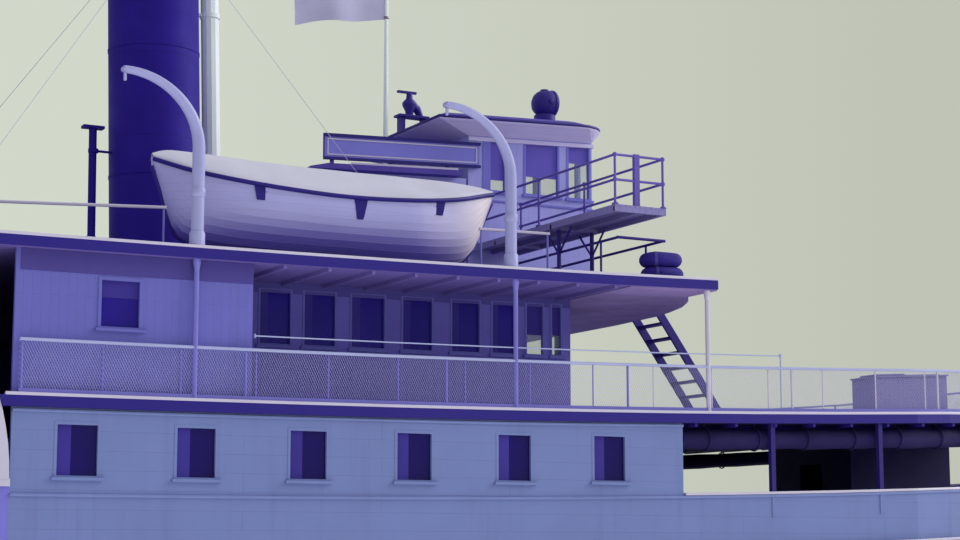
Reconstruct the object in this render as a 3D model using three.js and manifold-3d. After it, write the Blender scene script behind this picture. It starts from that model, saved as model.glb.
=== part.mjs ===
// Side-wheel paddle steamer, a 1:2 scale model of a passenger vessel 67 m long.
// Every size below is a real size of the full-size ship in metres; the model is
// half of it and is written in millimetres.
// +X points to the bow, +Y to port and +Z up. The origin is on the flat bottom of
// the hull, midway between the ends.
import * as THREE from 'three';
import { mergeVertices } from 'three/addons/utils/BufferGeometryUtils.js';
import Module from 'manifold-3d';

const wasm = await Module();
wasm.setup();

// Scale and clearances
const MODEL_MM_PER_METRE = 500;          // 1:2 in millimetres
const GAP = 0.0007;                      // between pieces that touch
const RUNNING = 0.0004;                  // least play of a faceted pin in its hole
const STATION = 2;                       // frame spacing of the decks

// Driving dimensions of the ship
const LENGTH = 67.06;
const BEAM = 17.5;                       // over the guards
const HULL_BEAM = 9.75;
const DEPTH = 3.55;                      // keel to main deck
const END = LENGTH / 2;
const SIDE = BEAM / 2;
const BOW_SHEER = 1.1;
const STERN_SHEER = 0.5;
const SHEER_POWER = 2.5;

// Deck levels above the keel, at midships
const MAIN = DEPTH + 0.15;               // top of the main deck planks
const MOULDING = 4.74;
const PROMENADE = 6.31;
const HURRICANE = 8.93;
const PLANK = 0.18;                      // thickness of the upper decks
const WALL = 0.08;
const INSET = 0.08;                      // house side inside the edge of the guard

// Paddle wheels and engine
const SHAFT = { x: -3.2, z: 4.96, radius: 0.2, sides: 32 };
const WHEEL = {
  radius: 3.81, inner: 5.45, outer: 8.3, arms: 12, floatDepth: 0.62,
  rim: { inner: 3.12, outer: 3.34 }, hub: 0.75, arm: 0.09,
};
const BOX = { radius: 4.4, shell: 0.12, inner: 5.15, outer: 8.67 };
const BEAM_ARM = 3.3;
const TRUNNION = { x: SHAFT.x - BEAM_ARM, z: 12.6 };

// Colours seen in the photograph
const PAINT = {
  white: 0xb4b2dc, cream: 0xcfcbe0, dark: 0x2b2070, deck: 0x6a629c, hull: 0xa9a8d4,
  funnel: 0x35287c, iron: 0x3a3560, red: 0x6c3a6e, canvas: 0xc9c4dc, cloth: 0x7f74b0,
};

// Solids from plain geometry
function solidOf(geometry) {
  const bare = new THREE.BufferGeometry();
  bare.setAttribute('position', geometry.getAttribute('position').clone());
  if (geometry.index) bare.setIndex(geometry.index.clone());
  const merged = mergeVertices(bare, 1e-5);
  return new wasm.Manifold(new wasm.Mesh({
    numProp: 3,
    vertProperties: new Float32Array(merged.getAttribute('position').array),
    triVerts: new Uint32Array(merged.index.array),
  }));
}

// The hole that a pin of the same number of sides can turn in
const holeFor = (pin, sides) => pin / Math.cos(Math.PI / sides) + RUNNING;

const join = (...solids) => solids.flat().reduce((whole, solid) => whole.add(solid));
const cut = (body, ...tools) => tools.flat().reduce((whole, tool) => whole.subtract(tool), body);

function signedVolume(points, faces) {
  let volume = 0;
  for (let i = 0; i < faces.length; i += 3) {
    const [a, b, c] = [points[faces[i]], points[faces[i + 1]], points[faces[i + 2]]];
    volume += a.dot(b.clone().cross(c));
  }
  return volume;
}

// A closed skin through rings of points, each ring convex and of one size
function loft(rings) {
  const size = rings[0].length;
  const points = rings.flat().map((p) => new THREE.Vector3(...p));
  const faces = [];
  for (let ring = 0; ring + 1 < rings.length; ring++) {
    for (let corner = 0; corner < size; corner++) {
      const next = (corner + 1) % size;
      const [near, far] = [ring * size, (ring + 1) * size];
      faces.push(near + corner, near + next, far + next, near + corner, far + next, far + corner);
    }
  }
  const last = (rings.length - 1) * size;
  for (let corner = 1; corner + 1 < size; corner++) {
    faces.push(0, corner + 1, corner, last, last + corner, last + corner + 1);
  }
  if (signedVolume(points, faces) < 0) faces.reverse();
  const geometry = new THREE.BufferGeometry().setFromPoints(points);
  geometry.setIndex(faces);
  return solidOf(geometry);
}

function block(x0, x1, y0, y1, z0, z1) {
  const geometry = new THREE.BoxGeometry(x1 - x0, y1 - y0, z1 - z0);
  return solidOf(geometry.translate((x0 + x1) / 2, (y0 + y1) / 2, (z0 + z1) / 2));
}

// A round or, with four sides, square bar from one point to another
function bar(from, to, radius, sides = 8, farRadius = radius) {
  const [a, b] = [new THREE.Vector3(...from), new THREE.Vector3(...to)];
  const along = b.clone().sub(a);
  const geometry = new THREE.CylinderGeometry(farRadius, radius, along.length(), sides);
  geometry.rotateY(Math.PI / sides);
  geometry.applyQuaternion(new THREE.Quaternion().setFromUnitVectors(
    new THREE.Vector3(0, 1, 0), along.clone().normalize()));
  return solidOf(geometry.translate(...a.add(b).multiplyScalar(0.5).toArray()));
}

// A flat shape in the XZ plane, as [x, z] corners, thickened from y0 to y1
function plate(corners, y0, y1) {
  const shape = new THREE.Shape(corners.map(([x, z]) => new THREE.Vector2(x, z)));
  const geometry = new THREE.ExtrudeGeometry(shape, { depth: Math.abs(y1 - y0), bevelEnabled: false });
  return solidOf(geometry.rotateX(Math.PI / 2).translate(0, Math.max(y0, y1), 0));
}

// A flat plan shape, as [x, y] corners, from z0 to z1
function slab(corners, z0, z1) {
  const shape = new THREE.Shape(corners.map(([x, y]) => new THREE.Vector2(x, y)));
  const geometry = new THREE.ExtrudeGeometry(shape, { depth: z1 - z0, bevelEnabled: false });
  return solidOf(geometry.translate(0, 0, z0));
}

function arc(centreX, centreY, radius, fromDeg, toDeg, steps) {
  return Array.from({ length: steps + 1 }, (_, i) => {
    const angle = THREE.MathUtils.degToRad(fromDeg + (toDeg - fromDeg) * i / steps);
    return [centreX + radius * Math.cos(angle), centreY + radius * Math.sin(angle)];
  });
}

// Sheer of the decks, straight between frames
function sheerCurve(x) {
  const rise = x > 0 ? BOW_SHEER : STERN_SHEER;
  return rise * (Math.abs(x) / END) ** SHEER_POWER;
}

function sheer(x) {
  const frame = Math.floor(x / STATION) * STATION;
  const [low, high] = [sheerCurve(frame), sheerCurve(frame + STATION)];
  return low + (high - low) * (x - frame) / STATION;
}

// Plan of the guards: half-breadth at a place along the ship
const SHOULDER = { bow: 19.8, stern: -16 };

function guard(x) {
  if (x > SHOULDER.bow) {
    const u = Math.min(1, (x - SHOULDER.bow) / (END - SHOULDER.bow));
    return Math.max(0.25, SIDE * (1 - u ** 1.7));
  }
  if (x < SHOULDER.stern) {
    const u = Math.min(1, (SHOULDER.stern - x) / (END + SHOULDER.stern));
    return Math.max(0.9, SIDE * (1 - u ** 3) ** 0.55);
  }
  return SIDE;
}

// Frames between two places, with closer ones where the plan is round
function frames(x0, x1) {
  const places = [x0, x1];
  for (let x = Math.ceil(x0 / STATION) * STATION; x < x1; x += STATION) places.push(x);
  for (const x of [-33.4, -33, -32.5, -31.2, -29.2, 21, 23, 25, 27, 29, 31, 32.6, 33.2]) {
    if (x > x0 && x < x1) places.push(x);
  }
  return [...new Set(places)].sort((a, b) => a - b);
}

// A deck: planks of one thickness under a top that follows the sheer
function deck(x0, x1, top, thickness, halfBreadth = guard) {
  return loft(frames(x0, x1).map((x) => {
    const [y, z] = [halfBreadth(x), top + sheer(x)];
    return [[x, -y, z - thickness], [x, y, z - thickness], [x, y, z], [x, -y, z]];
  }));
}

// A strip along one side of the ship: a wall, a rail or a moulding
function strip(side, x0, x1, outside, thickness, low, high) {
  return loft(frames(x0, x1).map((x) => {
    const [outer, inner] = [side * outside(x), side * (outside(x) - thickness)];
    const [z0, z1] = [low + sheer(x), high + sheer(x)];
    return [[x, outer, z0], [x, inner, z0], [x, inner, z1], [x, outer, z1]];
  }));
}

// A piece cut to stand on a deck's top, or to end under its planks
const SPAN = 3;
const standing = (solid, level) => cut(solid, deck(-END, END, level + GAP, SPAN, () => SIDE + 1));
const under = (solid, level) =>
  cut(solid, deck(-END, END, level - PLANK - GAP + SPAN, SPAN, () => SIDE + 1));

const houseSide = (x) => guard(x) - INSET;
const railSide = (x) => guard(x) - 0.07;
const RAIL_THICK = 0.07;

// Posts at given places under a rail, square, standing on a deck
function posts(side, places, line, width, low, high) {
  return places.map((x) => {
    const [y, z] = [side * (line(x) - RAIL_THICK / 2), sheer(x)];
    return block(x - width / 2, x + width / 2, y - width / 2, y + width / 2, low + z, high + z);
  });
}

const spaced = (x0, x1, pitch) => {
  const count = Math.max(1, Math.round((x1 - x0) / pitch));
  return Array.from({ length: count + 1 }, (_, i) => x0 + (x1 - x0) * i / count);
};

// The group and its named pieces
const ship = new THREE.Group();

function piece(name, solid, colour, roughness = 0.6, metalness = 0) {
  const mesh = solid.getMesh();
  const geometry = new THREE.BufferGeometry();
  const points = Float32Array.from(mesh.vertProperties, (value) => value * MODEL_MM_PER_METRE);
  geometry.setAttribute('position', new THREE.BufferAttribute(points, 3));
  geometry.setIndex(new THREE.BufferAttribute(Uint32Array.from(mesh.triVerts), 1));
  geometry.computeVertexNormals();
  const material = new THREE.MeshStandardMaterial({ color: colour, roughness, metalness });
  const object = new THREE.Mesh(geometry, material);
  object.name = name;
  ship.add(object);
}

const SIDES = [['starboard', -1], ['port', 1]];

// Hull: flat floor, round bilge, fine ends and a counter above the rudder
const FLOOR = 0.72;                      // flat floor as a share of the half-breadth
const HULL_ENDS = { bow: 33.3, sternpost: -30.6, counter: -32.9 };
const COUNTER_FOOT = 2.55;

function hullBreadth(x) {
  const reach = x > 0 ? 33.6 : 34.6;
  const u = Math.max(0, (Math.abs(x) - 6) / (reach - 6));
  return HULL_BEAM / 2 * (1 - u ** (x > 0 ? 2 : 2.6));
}

function hullSection(x) {
  const breadth = hullBreadth(x);
  const fine = THREE.MathUtils.clamp((Math.abs(x) - 8) / 22, 0, 1) ** 1.3;
  const foot = x < HULL_ENDS.sternpost ? COUNTER_FOOT + 0.4 * (HULL_ENDS.sternpost - x) / 2.3
    : Math.max(0, x - 30.5) ** 2 * 0.16;
  const top = DEPTH - GAP + sheer(x);
  // each row: share of the height, half-breadth share amidships, share at the ends
  const rows = [[0, FLOOR, 0.05], [0.1, 0.9, 0.16], [0.28, 0.99, 0.34], [0.6, 1, 0.66], [1, 1, 1]];
  const half = rows.map(([t, full, lean]) => {
    const y = Math.max(0.1, breadth * (full * (1 - fine) + lean * fine));
    return [x, y, foot + (top - foot) * t];
  });
  return [...half, ...half.toReversed().map(([px, y, z]) => [px, -y, z])];
}

const hullPlaces = [...frames(HULL_ENDS.counter, HULL_ENDS.bow), -31.8, -30.64,
  HULL_ENDS.sternpost, 27, 29.5, 32.2].sort((a, b) => a - b);
const HEEL_TOP = 0.22;
const heel = block(-31.3, -30.3, -0.12, 0.12, 0, HEEL_TOP);
piece('hull', join(loft([...new Set(hullPlaces)].map(hullSection)), heel), PAINT.hull);

// Main deck: guards outside the hull, wells for the wheels, brackets below and a hatch
const HATCH_TOP = 4.23;
const WELL = { x0: SHAFT.x - 4.2, x1: SHAFT.x + 4.2, inner: 5.3, outer: 8.5 };
const mainDeck = () => {
  const wells = SIDES.map(([, side]) => {
    const [y0, y1] = [side * WELL.inner, side * WELL.outer].sort((a, b) => a - b);
    return block(WELL.x0, WELL.x1, y0, y1, MAIN - 1, MAIN + 1);
  });
  const brackets = SIDES.flatMap(([, side]) => spaced(-24, 20, 4)
    .filter((x) => x < WELL.x0 - 0.3 || x > WELL.x1 + 0.3)
    .map((x) => {
      const [inner, outer] = [hullBreadth(x) + 0.02, guard(x) - 0.35];
      const z = MAIN - 0.1 + sheer(x);
      const ring = (px) => [[px, side * inner, z], [px, side * outer, z],
        [px, side * outer, z - 0.18], [px, side * inner, z - 1.2]];
      return loft([ring(x - 0.08), ring(x + 0.08)]);
    }));
  const hatch = loft(frames(18.6, 21.4).map((x) => {
    const z = MAIN + sheer(x) - 0.05;
    return [[x, -1.3, z], [x, 1.3, z], [x, 1.3, HATCH_TOP], [x, -1.3, HATCH_TOP]];
  }));
  return join(cut(deck(-END, END, MAIN, 0.15), wells), brackets, hatch);
};
piece('main_deck', mainDeck(), PAINT.deck);

// Main-deck sides with their windows, and the bulwark that runs on to the bow
const WINDOW = { width: 0.72, low: 5.0, high: 5.88, pitch: 2.05, first: 2.3 };
const HOUSE = { front: 14.21, back: -27, bulwarkEnd: 33.2, sternEnd: -33.2 };
const BOX_FRONT = SHAFT.x + BOX.radius;
const BOX_BACK = SHAFT.x - BOX.radius;

function mainWindows(side, places) {
  return places.map((x) => {
    const y = side * houseSide(x);
    return block(x - WINDOW.width / 2, x + WINDOW.width / 2, y - 0.6, y + 0.6,
      WINDOW.low + sheer(x), WINDOW.high + sheer(x));
  });
}

for (const [name, side] of SIDES) {
  const foot = MAIN + GAP;
  const head = PROMENADE - PLANK - GAP;
  const front = strip(side, BOX_FRONT + GAP, HOUSE.front, houseSide, WALL, foot, head);
  const bulwark = strip(side, HOUSE.front - 0.05, HOUSE.bulwarkEnd, houseSide, WALL, foot,
    MOULDING);
  const pillars = posts(side, spaced(16.35, 27.2, 2.7), houseSide, 0.1, MAIN + 0.6, PROMENADE);
  const frontWindows = mainWindows(side, Array.from({ length: 6 },
    (_, i) => WINDOW.first + i * WINDOW.pitch));
  const fore = join(cut(front, frontWindows), bulwark, pillars);
  piece(`main_side_fore_${name}`, under(fore, PROMENADE), PAINT.white);

  const back = strip(side, HOUSE.back, BOX_BACK - GAP, houseSide, WALL, foot, head);
  const sternBulwark = strip(side, HOUSE.sternEnd, HOUSE.back + 0.05, houseSide, WALL, foot,
    MOULDING);
  const backPillars = posts(side, spaced(-32, -28.6, 1.7), houseSide, 0.12, MAIN + 0.6,
    PROMENADE);
  const backWindows = mainWindows(side, spaced(-25.5, -9.1, WINDOW.pitch));
  const aft = join(cut(back, backWindows), sternBulwark, backPillars);
  piece(`main_side_aft_${name}`, under(aft, PROMENADE), PAINT.white);
}

// Cross walls of the main house, each with wide doorways
function crossWall(x0, halfWidth, foot, head, doors) {
  const wall = block(x0, x0 + WALL, -halfWidth, halfWidth, foot + sheer(x0), head + sheer(x0));
  return cut(wall, doors.map(([y, width, high]) =>
    block(x0 - 1, x0 + 1, y - width / 2, y + width / 2, foot - 1, foot + sheer(x0) + high)));
}
// The floor and ceiling slope a little over a wall's own thickness
const SLOPE = 0.004;
piece('main_front_wall', crossWall(HOUSE.front - 2 * WALL, houseSide(14) - WALL - GAP, MAIN + SLOPE,
  PROMENADE - PLANK - SLOPE, [[-3.6, 2.2, 2.0], [3.6, 2.2, 2.0]]), PAINT.white);
piece('main_back_wall', crossWall(HOUSE.back, houseSide(HOUSE.back) - WALL - 0.02, MAIN + SLOPE,
  PROMENADE - PLANK - SLOPE, [[-3, 1.2, 2.0], [3, 1.2, 2.0]]), PAINT.white);

// Fore deckhouse on the main deck
const FORE_HOUSE = { x0: 24.0, x1: 27.2, y: 1.6 };
const foreHouse = () => {
  const { x0, x1, y } = FORE_HOUSE;
  const shell = (inset, foot, head) => loft(frames(x0 + inset, x1 - inset).map((x) => {
    const [z0, z1] = [foot + sheer(x), head + sheer(x)];
    return [[x, -y + inset, z0], [x, y - inset, z0], [x, y - inset, z1], [x, -y + inset, z1]];
  }));
  const door = block(x0 - 1, x0 + 1, -0.45, 0.45, MAIN, MAIN + 2.3);
  return cut(shell(0, MAIN + GAP, PROMENADE - PLANK - GAP),
    shell(WALL, MAIN - 1, PROMENADE - PLANK - 0.1), door);
};
piece('fore_deckhouse', foreHouse(), PAINT.dark);

// Promenade deck, with the narrow companion hood at its fore end
const paddleHole = (clear) => SIDES.map(([, side]) => {
  const [y0, y1] = [side * (BOX.inner - clear), side * (SIDE + 1)].sort((a, b) => a - b);
  return plate(arc(SHAFT.x, SHAFT.z, BOX.radius + clear, 0, 360, 48).slice(0, -1), y0, y1);
});
const PROMENADE_ENDS = { stern: -32.9, bow: 28.6 };
const COMPANION = { x0: 25.8, x1: 28.2, y: 0.45, high: 1.37 };
const companion = () => {
  const { x0, x1, y, high } = COMPANION;
  return loft([x0, x1].map((x) => {
    const z = PROMENADE + sheer(x);
    return [[x, -y, z - 0.05], [x, y, z - 0.05], [x, y, z + high], [x, -y, z + high]];
  }));
};
piece('promenade_deck', join(cut(deck(PROMENADE_ENDS.stern, PROMENADE_ENDS.bow, PROMENADE, PLANK),
  paddleHole(GAP)), companion()), PAINT.deck);

// Promenade railings, one round the bow and one round the stern: a top rail, posts
// every second window and the tall stanchions that carry the deck above
const RAIL = { height: 0.95, post: 0.05, pitch: 4.1 };
const RAIL_BARS = [[RAIL.height - RAIL_THICK, RAIL.height]];
const RAILINGS = [
  { place: 'fore', x0: BOX_FRONT + 0.1, x1: PROMENADE_ENDS.bow - 0.05,
    end: PROMENADE_ENDS.bow - 0.12, stanchions: [4.3, 10.54, 14.85] },
  { place: 'aft', x0: PROMENADE_ENDS.stern + 0.05, x1: BOX_BACK - 0.1,
    end: PROMENADE_ENDS.stern + 0.05, stanchions: [-12, -16, -20, -24, -26.6] },
];
for (const { place, x0, x1, end, stanchions } of RAILINGS) {
  const sides = SIDES.flatMap(([, side]) => [
    ...RAIL_BARS.map(([low, high]) =>
      strip(side, x0, x1, railSide, RAIL_THICK, PROMENADE + low, PROMENADE + high)),
    ...posts(side, spaced(x0 + 0.04, x1 - 0.04, RAIL.pitch), railSide, RAIL.post,
      PROMENADE - 0.05, PROMENADE + RAIL.height - 0.02),
    ...posts(side, stanchions, railSide, 0.08, PROMENADE - 0.05, HURRICANE),
  ]);
  const reach = railSide(end) - RAIL_THICK / 2;
  const across = RAIL_BARS.map(([low, high]) => block(end + 0.005, end + 0.06, -reach, reach,
    PROMENADE + low + sheer(end) + 0.015, PROMENADE + high + sheer(end) - 0.015));
  const railing = standing(join(...sides, ...across), PROMENADE);
  piece(`promenade_rail_${place}`, under(railing, HURRICANE), PAINT.cream);
}

// Saloon on the promenade deck: long side walls set back from the rail
const SALOON = { y: 6.5, wingFront: 5.37, front: 13.0, wingBack: -11.8, back: -24.5 };
const SALOON_WINDOW = { low: PROMENADE + 1.26, high: PROMENADE + 2.32, width: 0.66 };
// each window: its place and width; the last two are narrow lights beside the corner post
const SALOON_FORE = [[6.62, 0.64], [7.52, 0.66], [8.52, 0.72], [9.57, 0.66], [10.62, 0.64],
  [11.47, 0.54], [12.17, 0.4], [12.67, 0.24]];

for (const [name, side] of SIDES) {
  const wall = (x0, x1, places) => {
    const body = strip(side, x0, x1, () => SALOON.y, WALL, PROMENADE + GAP,
      HURRICANE - PLANK - GAP);
    return cut(body, places.map(([x, width]) => {
      const [y, z] = [side * SALOON.y, sheer(x)];
      return block(x - width / 2, x + width / 2, y - 0.5, y + 0.5, SALOON_WINDOW.low + z,
        SALOON_WINDOW.high + z);
    }));
  };
  piece(`saloon_side_fore_${name}`, wall(SALOON.wingFront + 0.02, SALOON.front, SALOON_FORE),
    PAINT.white);
  piece(`saloon_side_aft_${name}`, wall(SALOON.back, SALOON.wingBack - 0.02,
    spaced(-23.6, -12.8, 1.2).map((x) => [x, SALOON_WINDOW.width])), PAINT.white);
}

function saloonEnd(x0, openings) {
  const wall = block(x0, x0 + WALL, -SALOON.y + WALL + GAP, SALOON.y - WALL - GAP,
    PROMENADE + SLOPE + sheer(x0), HURRICANE - PLANK - SLOPE + sheer(x0));
  return cut(wall, openings.map(([y, width, low, high]) => block(x0 - 1, x0 + 1, y - width / 2,
    y + width / 2, PROMENADE + low, PROMENADE + high)));
}
// each opening: centre, width, foot and head above the deck
piece('saloon_front', saloonEnd(SALOON.front - WALL, [[-5.3, 1.4, 1.15, 2.2],
  [5.3, 1.4, 1.15, 2.2], [-3.3, 1.4, 1.15, 2.2], [3.3, 1.4, 1.15, 2.2],
  [0, 1.6, -0.2, 2.2]]), PAINT.white);
piece('saloon_back', saloonEnd(SALOON.back, [[-3.6, 1.2, 1.15, 2.2], [3.6, 1.2, 1.15, 2.2],
  [0, 1.6, -0.2, 2.2]]), PAINT.white);

// Wing cabins before and behind the paddle boxes, flush with the ship's side
const WING = { outer: 8.55, window: { width: 0.7, low: PROMENADE + 1.18, high: PROMENADE + 2.01 } };
const WINGS = [
  { place: 'fore', x0: BOX_FRONT + 0.02, x1: SALOON.wingFront, endX: SALOON.wingFront - WALL,
    windows: [3.0] },
  { place: 'aft', x0: SALOON.wingBack, x1: BOX_BACK - 0.02, endX: SALOON.wingBack,
    windows: [-9.7] },
];
for (const { place, x0, x1, endX, windows } of WINGS) {
  for (const [name, side] of SIDES) {
    const foot = PROMENADE + GAP;
    const head = HURRICANE - PLANK - GAP;
    const wall = strip(side, x0, x1, () => WING.outer, WALL, foot, head);
    const openings = windows.map((x) => block(x - WING.window.width / 2, x + WING.window.width / 2,
      side * WING.outer - 0.5, side * WING.outer + 0.5, WING.window.low, WING.window.high));
    const [y0, y1] = [side * (SALOON.y + GAP), side * (WING.outer - WALL / 2)]
      .sort((p, q) => p - q);
    const end = block(endX + 0.004, endX + WALL - 0.004, y0, y1, foot + SLOPE + sheer(endX),
      head - SLOPE + sheer(endX));
    piece(`wing_cabin_${place}_${name}`, cut(join(wall, end), openings), PAINT.white);
  }
}

// Paddle boxes: arched shells, open below, round the upper half of each wheel
for (const [name, side] of SIDES) {
  const half = (radius, foot) => [...arc(SHAFT.x, SHAFT.z, radius, 0, 180, 24),
    [SHAFT.x - radius, foot], [SHAFT.x + radius, foot]];
  const foot = MAIN - 0.1;
  const [a, b] = [side * BOX.inner, side * BOX.outer].sort((p, q) => p - q);
  const outer = plate(half(BOX.radius, foot), a, b);
  const inner = plate(half(BOX.radius - BOX.shell, foot - 1), a + BOX.shell, b - BOX.shell);
  const eye = bar([SHAFT.x, side * (BOX.inner - 0.5), SHAFT.z],
    [SHAFT.x, side * (BOX.inner + 0.5), SHAFT.z], holeFor(SHAFT.radius, SHAFT.sides), SHAFT.sides);
  piece(`paddle_box_${name}`, standing(cut(outer, inner, eye), MAIN), PAINT.white);
}

// Hurricane deck: full breadth up to its horns, then stepping in to a flat bowed front
const HORN = 15.05;
const HURRICANE_BACK = -27.6;
const HURRICANE_FRONT = [[15.06, 7.68], [15.25, 7.4], [15.6, 6.9], [16, 6.1], [16.3, 5.2],
  [16.5, 4.4], [16.64, 2.4], [16.66, 1.2]];
// Low skylight over the engine room, with a flat lid
const skylight = () => block(0.2, 3.2, -0.9, 0.9, HURRICANE - 0.05, HURRICANE + 0.42);
const hurricaneDeck = () => {
  const edge = [...frames(HURRICANE_BACK, HORN).map((x) => [x, guard(x)]), ...HURRICANE_FRONT];
  const planks = loft(edge.map(([x, y]) => {
    const z = HURRICANE + sheer(x);
    return [[x, -y, z - PLANK], [x, y, z - PLANK], [x, y, z], [x, -y, z]];
  }));
  const rodSlots = [
    block(SHAFT.x - 0.85, SHAFT.x + 0.45, -0.45, 0.45, 5, 10),
    block(TRUNNION.x - BEAM_ARM - 0.45, TRUNNION.x - BEAM_ARM + 0.85, -0.45, 0.45, 5, 10),
  ];
  return join(cut(planks, paddleHole(GAP), rodSlots), skylight());
};
piece('hurricane_deck', hurricaneDeck(), PAINT.deck);

// Hurricane-deck railing between the boats, on a low kerb that passes under them and
// turns inboard round the paddle boxes
const KERB = {
  high: 0.07, inboard: BOX.inner - 0.2,
  fore: [[1.3, 6.5], [4.2, 7.3], [10.0, 7.3], [10.3, 7.6], [11.9, 7.6]],
  aft: [[-26.6, 7.3], [-7.75, 7.3]],
};
const TOP_RAIL = { height: 0.95, runs: [[1.3, 4.2], [10.35, 11.9], [-15.3, -7.75], [-26.6, -22.8]] };
const kerbLine = (x) => {
  const line = x > 0 ? KERB.fore : KERB.aft;
  const next = Math.max(1, line.findIndex(([place]) => place >= x));
  const [[x0, y0], [x1, y1]] = line.slice(next - 1, next + 1);
  return y0 + (y1 - y0) * (x - x0) / (x1 - x0);
};
const kerb = () => {
  const [low, high] = [HURRICANE - 0.05, HURRICANE + KERB.high];
  const [back, front] = [KERB.aft.at(-1), KERB.fore[0]];
  return SIDES.flatMap(([, side]) => [
    ...[KERB.fore, KERB.aft].flatMap((line) => line.slice(1).map(([x1], i) =>
      strip(side, line[i][0], x1, kerbLine, RAIL_THICK, low, high))),
    strip(side, back[0], front[0], () => KERB.inboard, RAIL_THICK, low, high),
    ...[back, front].map(([x, y]) => block(x - RAIL_THICK / 2, x + RAIL_THICK / 2,
      ...[side * (KERB.inboard - RAIL_THICK), side * y].sort((a, b) => a - b), low, high)),
  ]);
};
const hurricaneRail = () => {
  const { height, runs } = TOP_RAIL;
  const [stern, y] = KERB.aft[0];
  const parts = SIDES.flatMap(([, side]) => runs.flatMap(([x0, x1]) => [
    strip(side, x0, x1, kerbLine, RAIL_THICK, HURRICANE + height - RAIL_THICK, HURRICANE + height),
    ...posts(side, spaced(x0 + 0.04, x1 - 0.04, 2.9), kerbLine, RAIL.post, HURRICANE - 0.05,
      HURRICANE + height - 0.02),
  ]));
  const cross = block(stern + 0.005, stern + 0.06, RAIL_THICK / 2 - y, y - RAIL_THICK / 2,
    HURRICANE + height - 0.06 + sheer(stern), HURRICANE + height - 0.015 + sheer(stern));
  return standing(join(...parts, ...kerb(), cross), HURRICANE);
};
piece('hurricane_rail', hurricaneRail(), PAINT.cream);

// A hollow house of four walls on the hurricane deck, its top rising forward, with its
// openings cut
const RAKE = 0.042;
const raked = (x, level) => level + RAKE * (x - TEXAS.x0);
function house(outline, inside, low, high, openings) {
  const above = loft([-END, END].map((x) => {
    const z = raked(x, high);
    return [[x, -SIDE, z], [x, SIDE, z], [x, SIDE, z + SPAN], [x, -SIDE, z + SPAN]];
  }));
  return cut(slab(outline, low, high + 1), slab(inside, low - 1, high + 2), above, openings);
}
const box4 = (x0, x1, y) => [[x0, -y], [x1, -y], [x1, y], [x0, y]];

// Texas cabin behind the pilot house, its roof and the two blank name boards
const TEXAS = { x0: 9.35, x1: 13.0, y: 2.0, top: 11.93, roof: 0.12, eave: 9.1, roofEnd: 12.75 };
const NAME_BOARD = { x0: 9.5, x1: 13.3, foot: 0.26, head: 0.8, legs: [9.7, 11.1, 12.5] };
const texasOpenings = [10.4, 11.9].map((x) => block(x - 0.35, x + 0.35, -4, 4, 10.5, 11.4));
piece('texas_cabin', standing(house(box4(TEXAS.x0, TEXAS.x1, TEXAS.y),
  box4(TEXAS.x0 + WALL, TEXAS.x1 - WALL, TEXAS.y - WALL), HURRICANE, TEXAS.top,
  texasOpenings), HURRICANE), PAINT.white);
const texasRoof = () => {
  const y = TEXAS.y + 0.3;
  // thin at the aft edge, so that its line droops there
  const roof = loft([[TEXAS.eave, 0.04], [TEXAS.eave + 0.4, TEXAS.roof], [TEXAS.roofEnd, TEXAS.roof]]
    .map(([x, thick]) => {
      const z = raked(x, TEXAS.top) + GAP;
      return [[x, -y, z], [x, y, z], [x, y, z + thick], [x, -y, z + thick]];
    }));
  const boards = SIDES.map(([, side]) => {
    const [y0, y1] = [side * (TEXAS.y + GAP), side * (TEXAS.y + 0.06)];
    return loft([NAME_BOARD.x0, NAME_BOARD.x1].map((x) => {
      const [z0, z1] = [raked(x, TEXAS.top + NAME_BOARD.foot), raked(x, TEXAS.top + NAME_BOARD.head)];
      return [[x, y0, z0], [x, y1, z0], [x, y1, z1], [x, y0, z1]];
    }));
  });
  const legs = NAME_BOARD.legs.flatMap((x) => SIDES.map(([, side]) => block(x - 0.04, x + 0.04,
    ...[side * (TEXAS.y + 0.005), side * (TEXAS.y + 0.055)].sort((a, b) => a - b),
    raked(x, TEXAS.top + 0.05), raked(x, TEXAS.top + NAME_BOARD.foot + 0.1))));
  return join(roof, ...boards, ...legs);
};
piece('texas_roof', texasRoof(), PAINT.dark);

// Pilot house: glazed all round, with a bowed front
const PILOT = { back: 13.05, front: 16.3, y: 2.0, top: 12.92, bow: 0.35 };
const BOW_SHARES = [-0.9, -0.7, -0.4, 0, 0.4, 0.7, 0.9];
const pilotPlan = (grow) => {
  const y = PILOT.y + grow;
  const bow = BOW_SHARES.map((share) =>
    [PILOT.front + grow + PILOT.bow * (1 - share * share), share * y]);
  const [aft, fore] = [PILOT.back - grow, PILOT.front + grow];
  return [[aft, -y], [fore, -y], ...bow, [fore, y], [aft, y]];
};
const PILOT_WINDOW = { frontHalf: 0.4, low: 11.85, high: 12.98 };
// each side window: its place and width
const PILOT_SIDE = [[13.72, 0.54], [14.95, 0.88], [15.94, 0.58]];
const pilotWindows = [
  ...PILOT_SIDE.map(([x, width]) => block(x - width / 2, x + width / 2, -4, 4,
    PILOT_WINDOW.low, raked(x, PILOT_WINDOW.high - 0.14))),
  ...[-1.45, -0.5, 0.5, 1.45].map((y) => block(PILOT.front - 0.4, PILOT.front + 2,
    y - PILOT_WINDOW.frontHalf, y + PILOT_WINDOW.frontHalf, PILOT_WINDOW.low,
    PILOT_WINDOW.high + 0.12)),
];
piece('pilot_house', standing(house(pilotPlan(0), pilotPlan(-WALL), HURRICANE, PILOT.top,
  pilotWindows), HURRICANE), PAINT.white);

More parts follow.
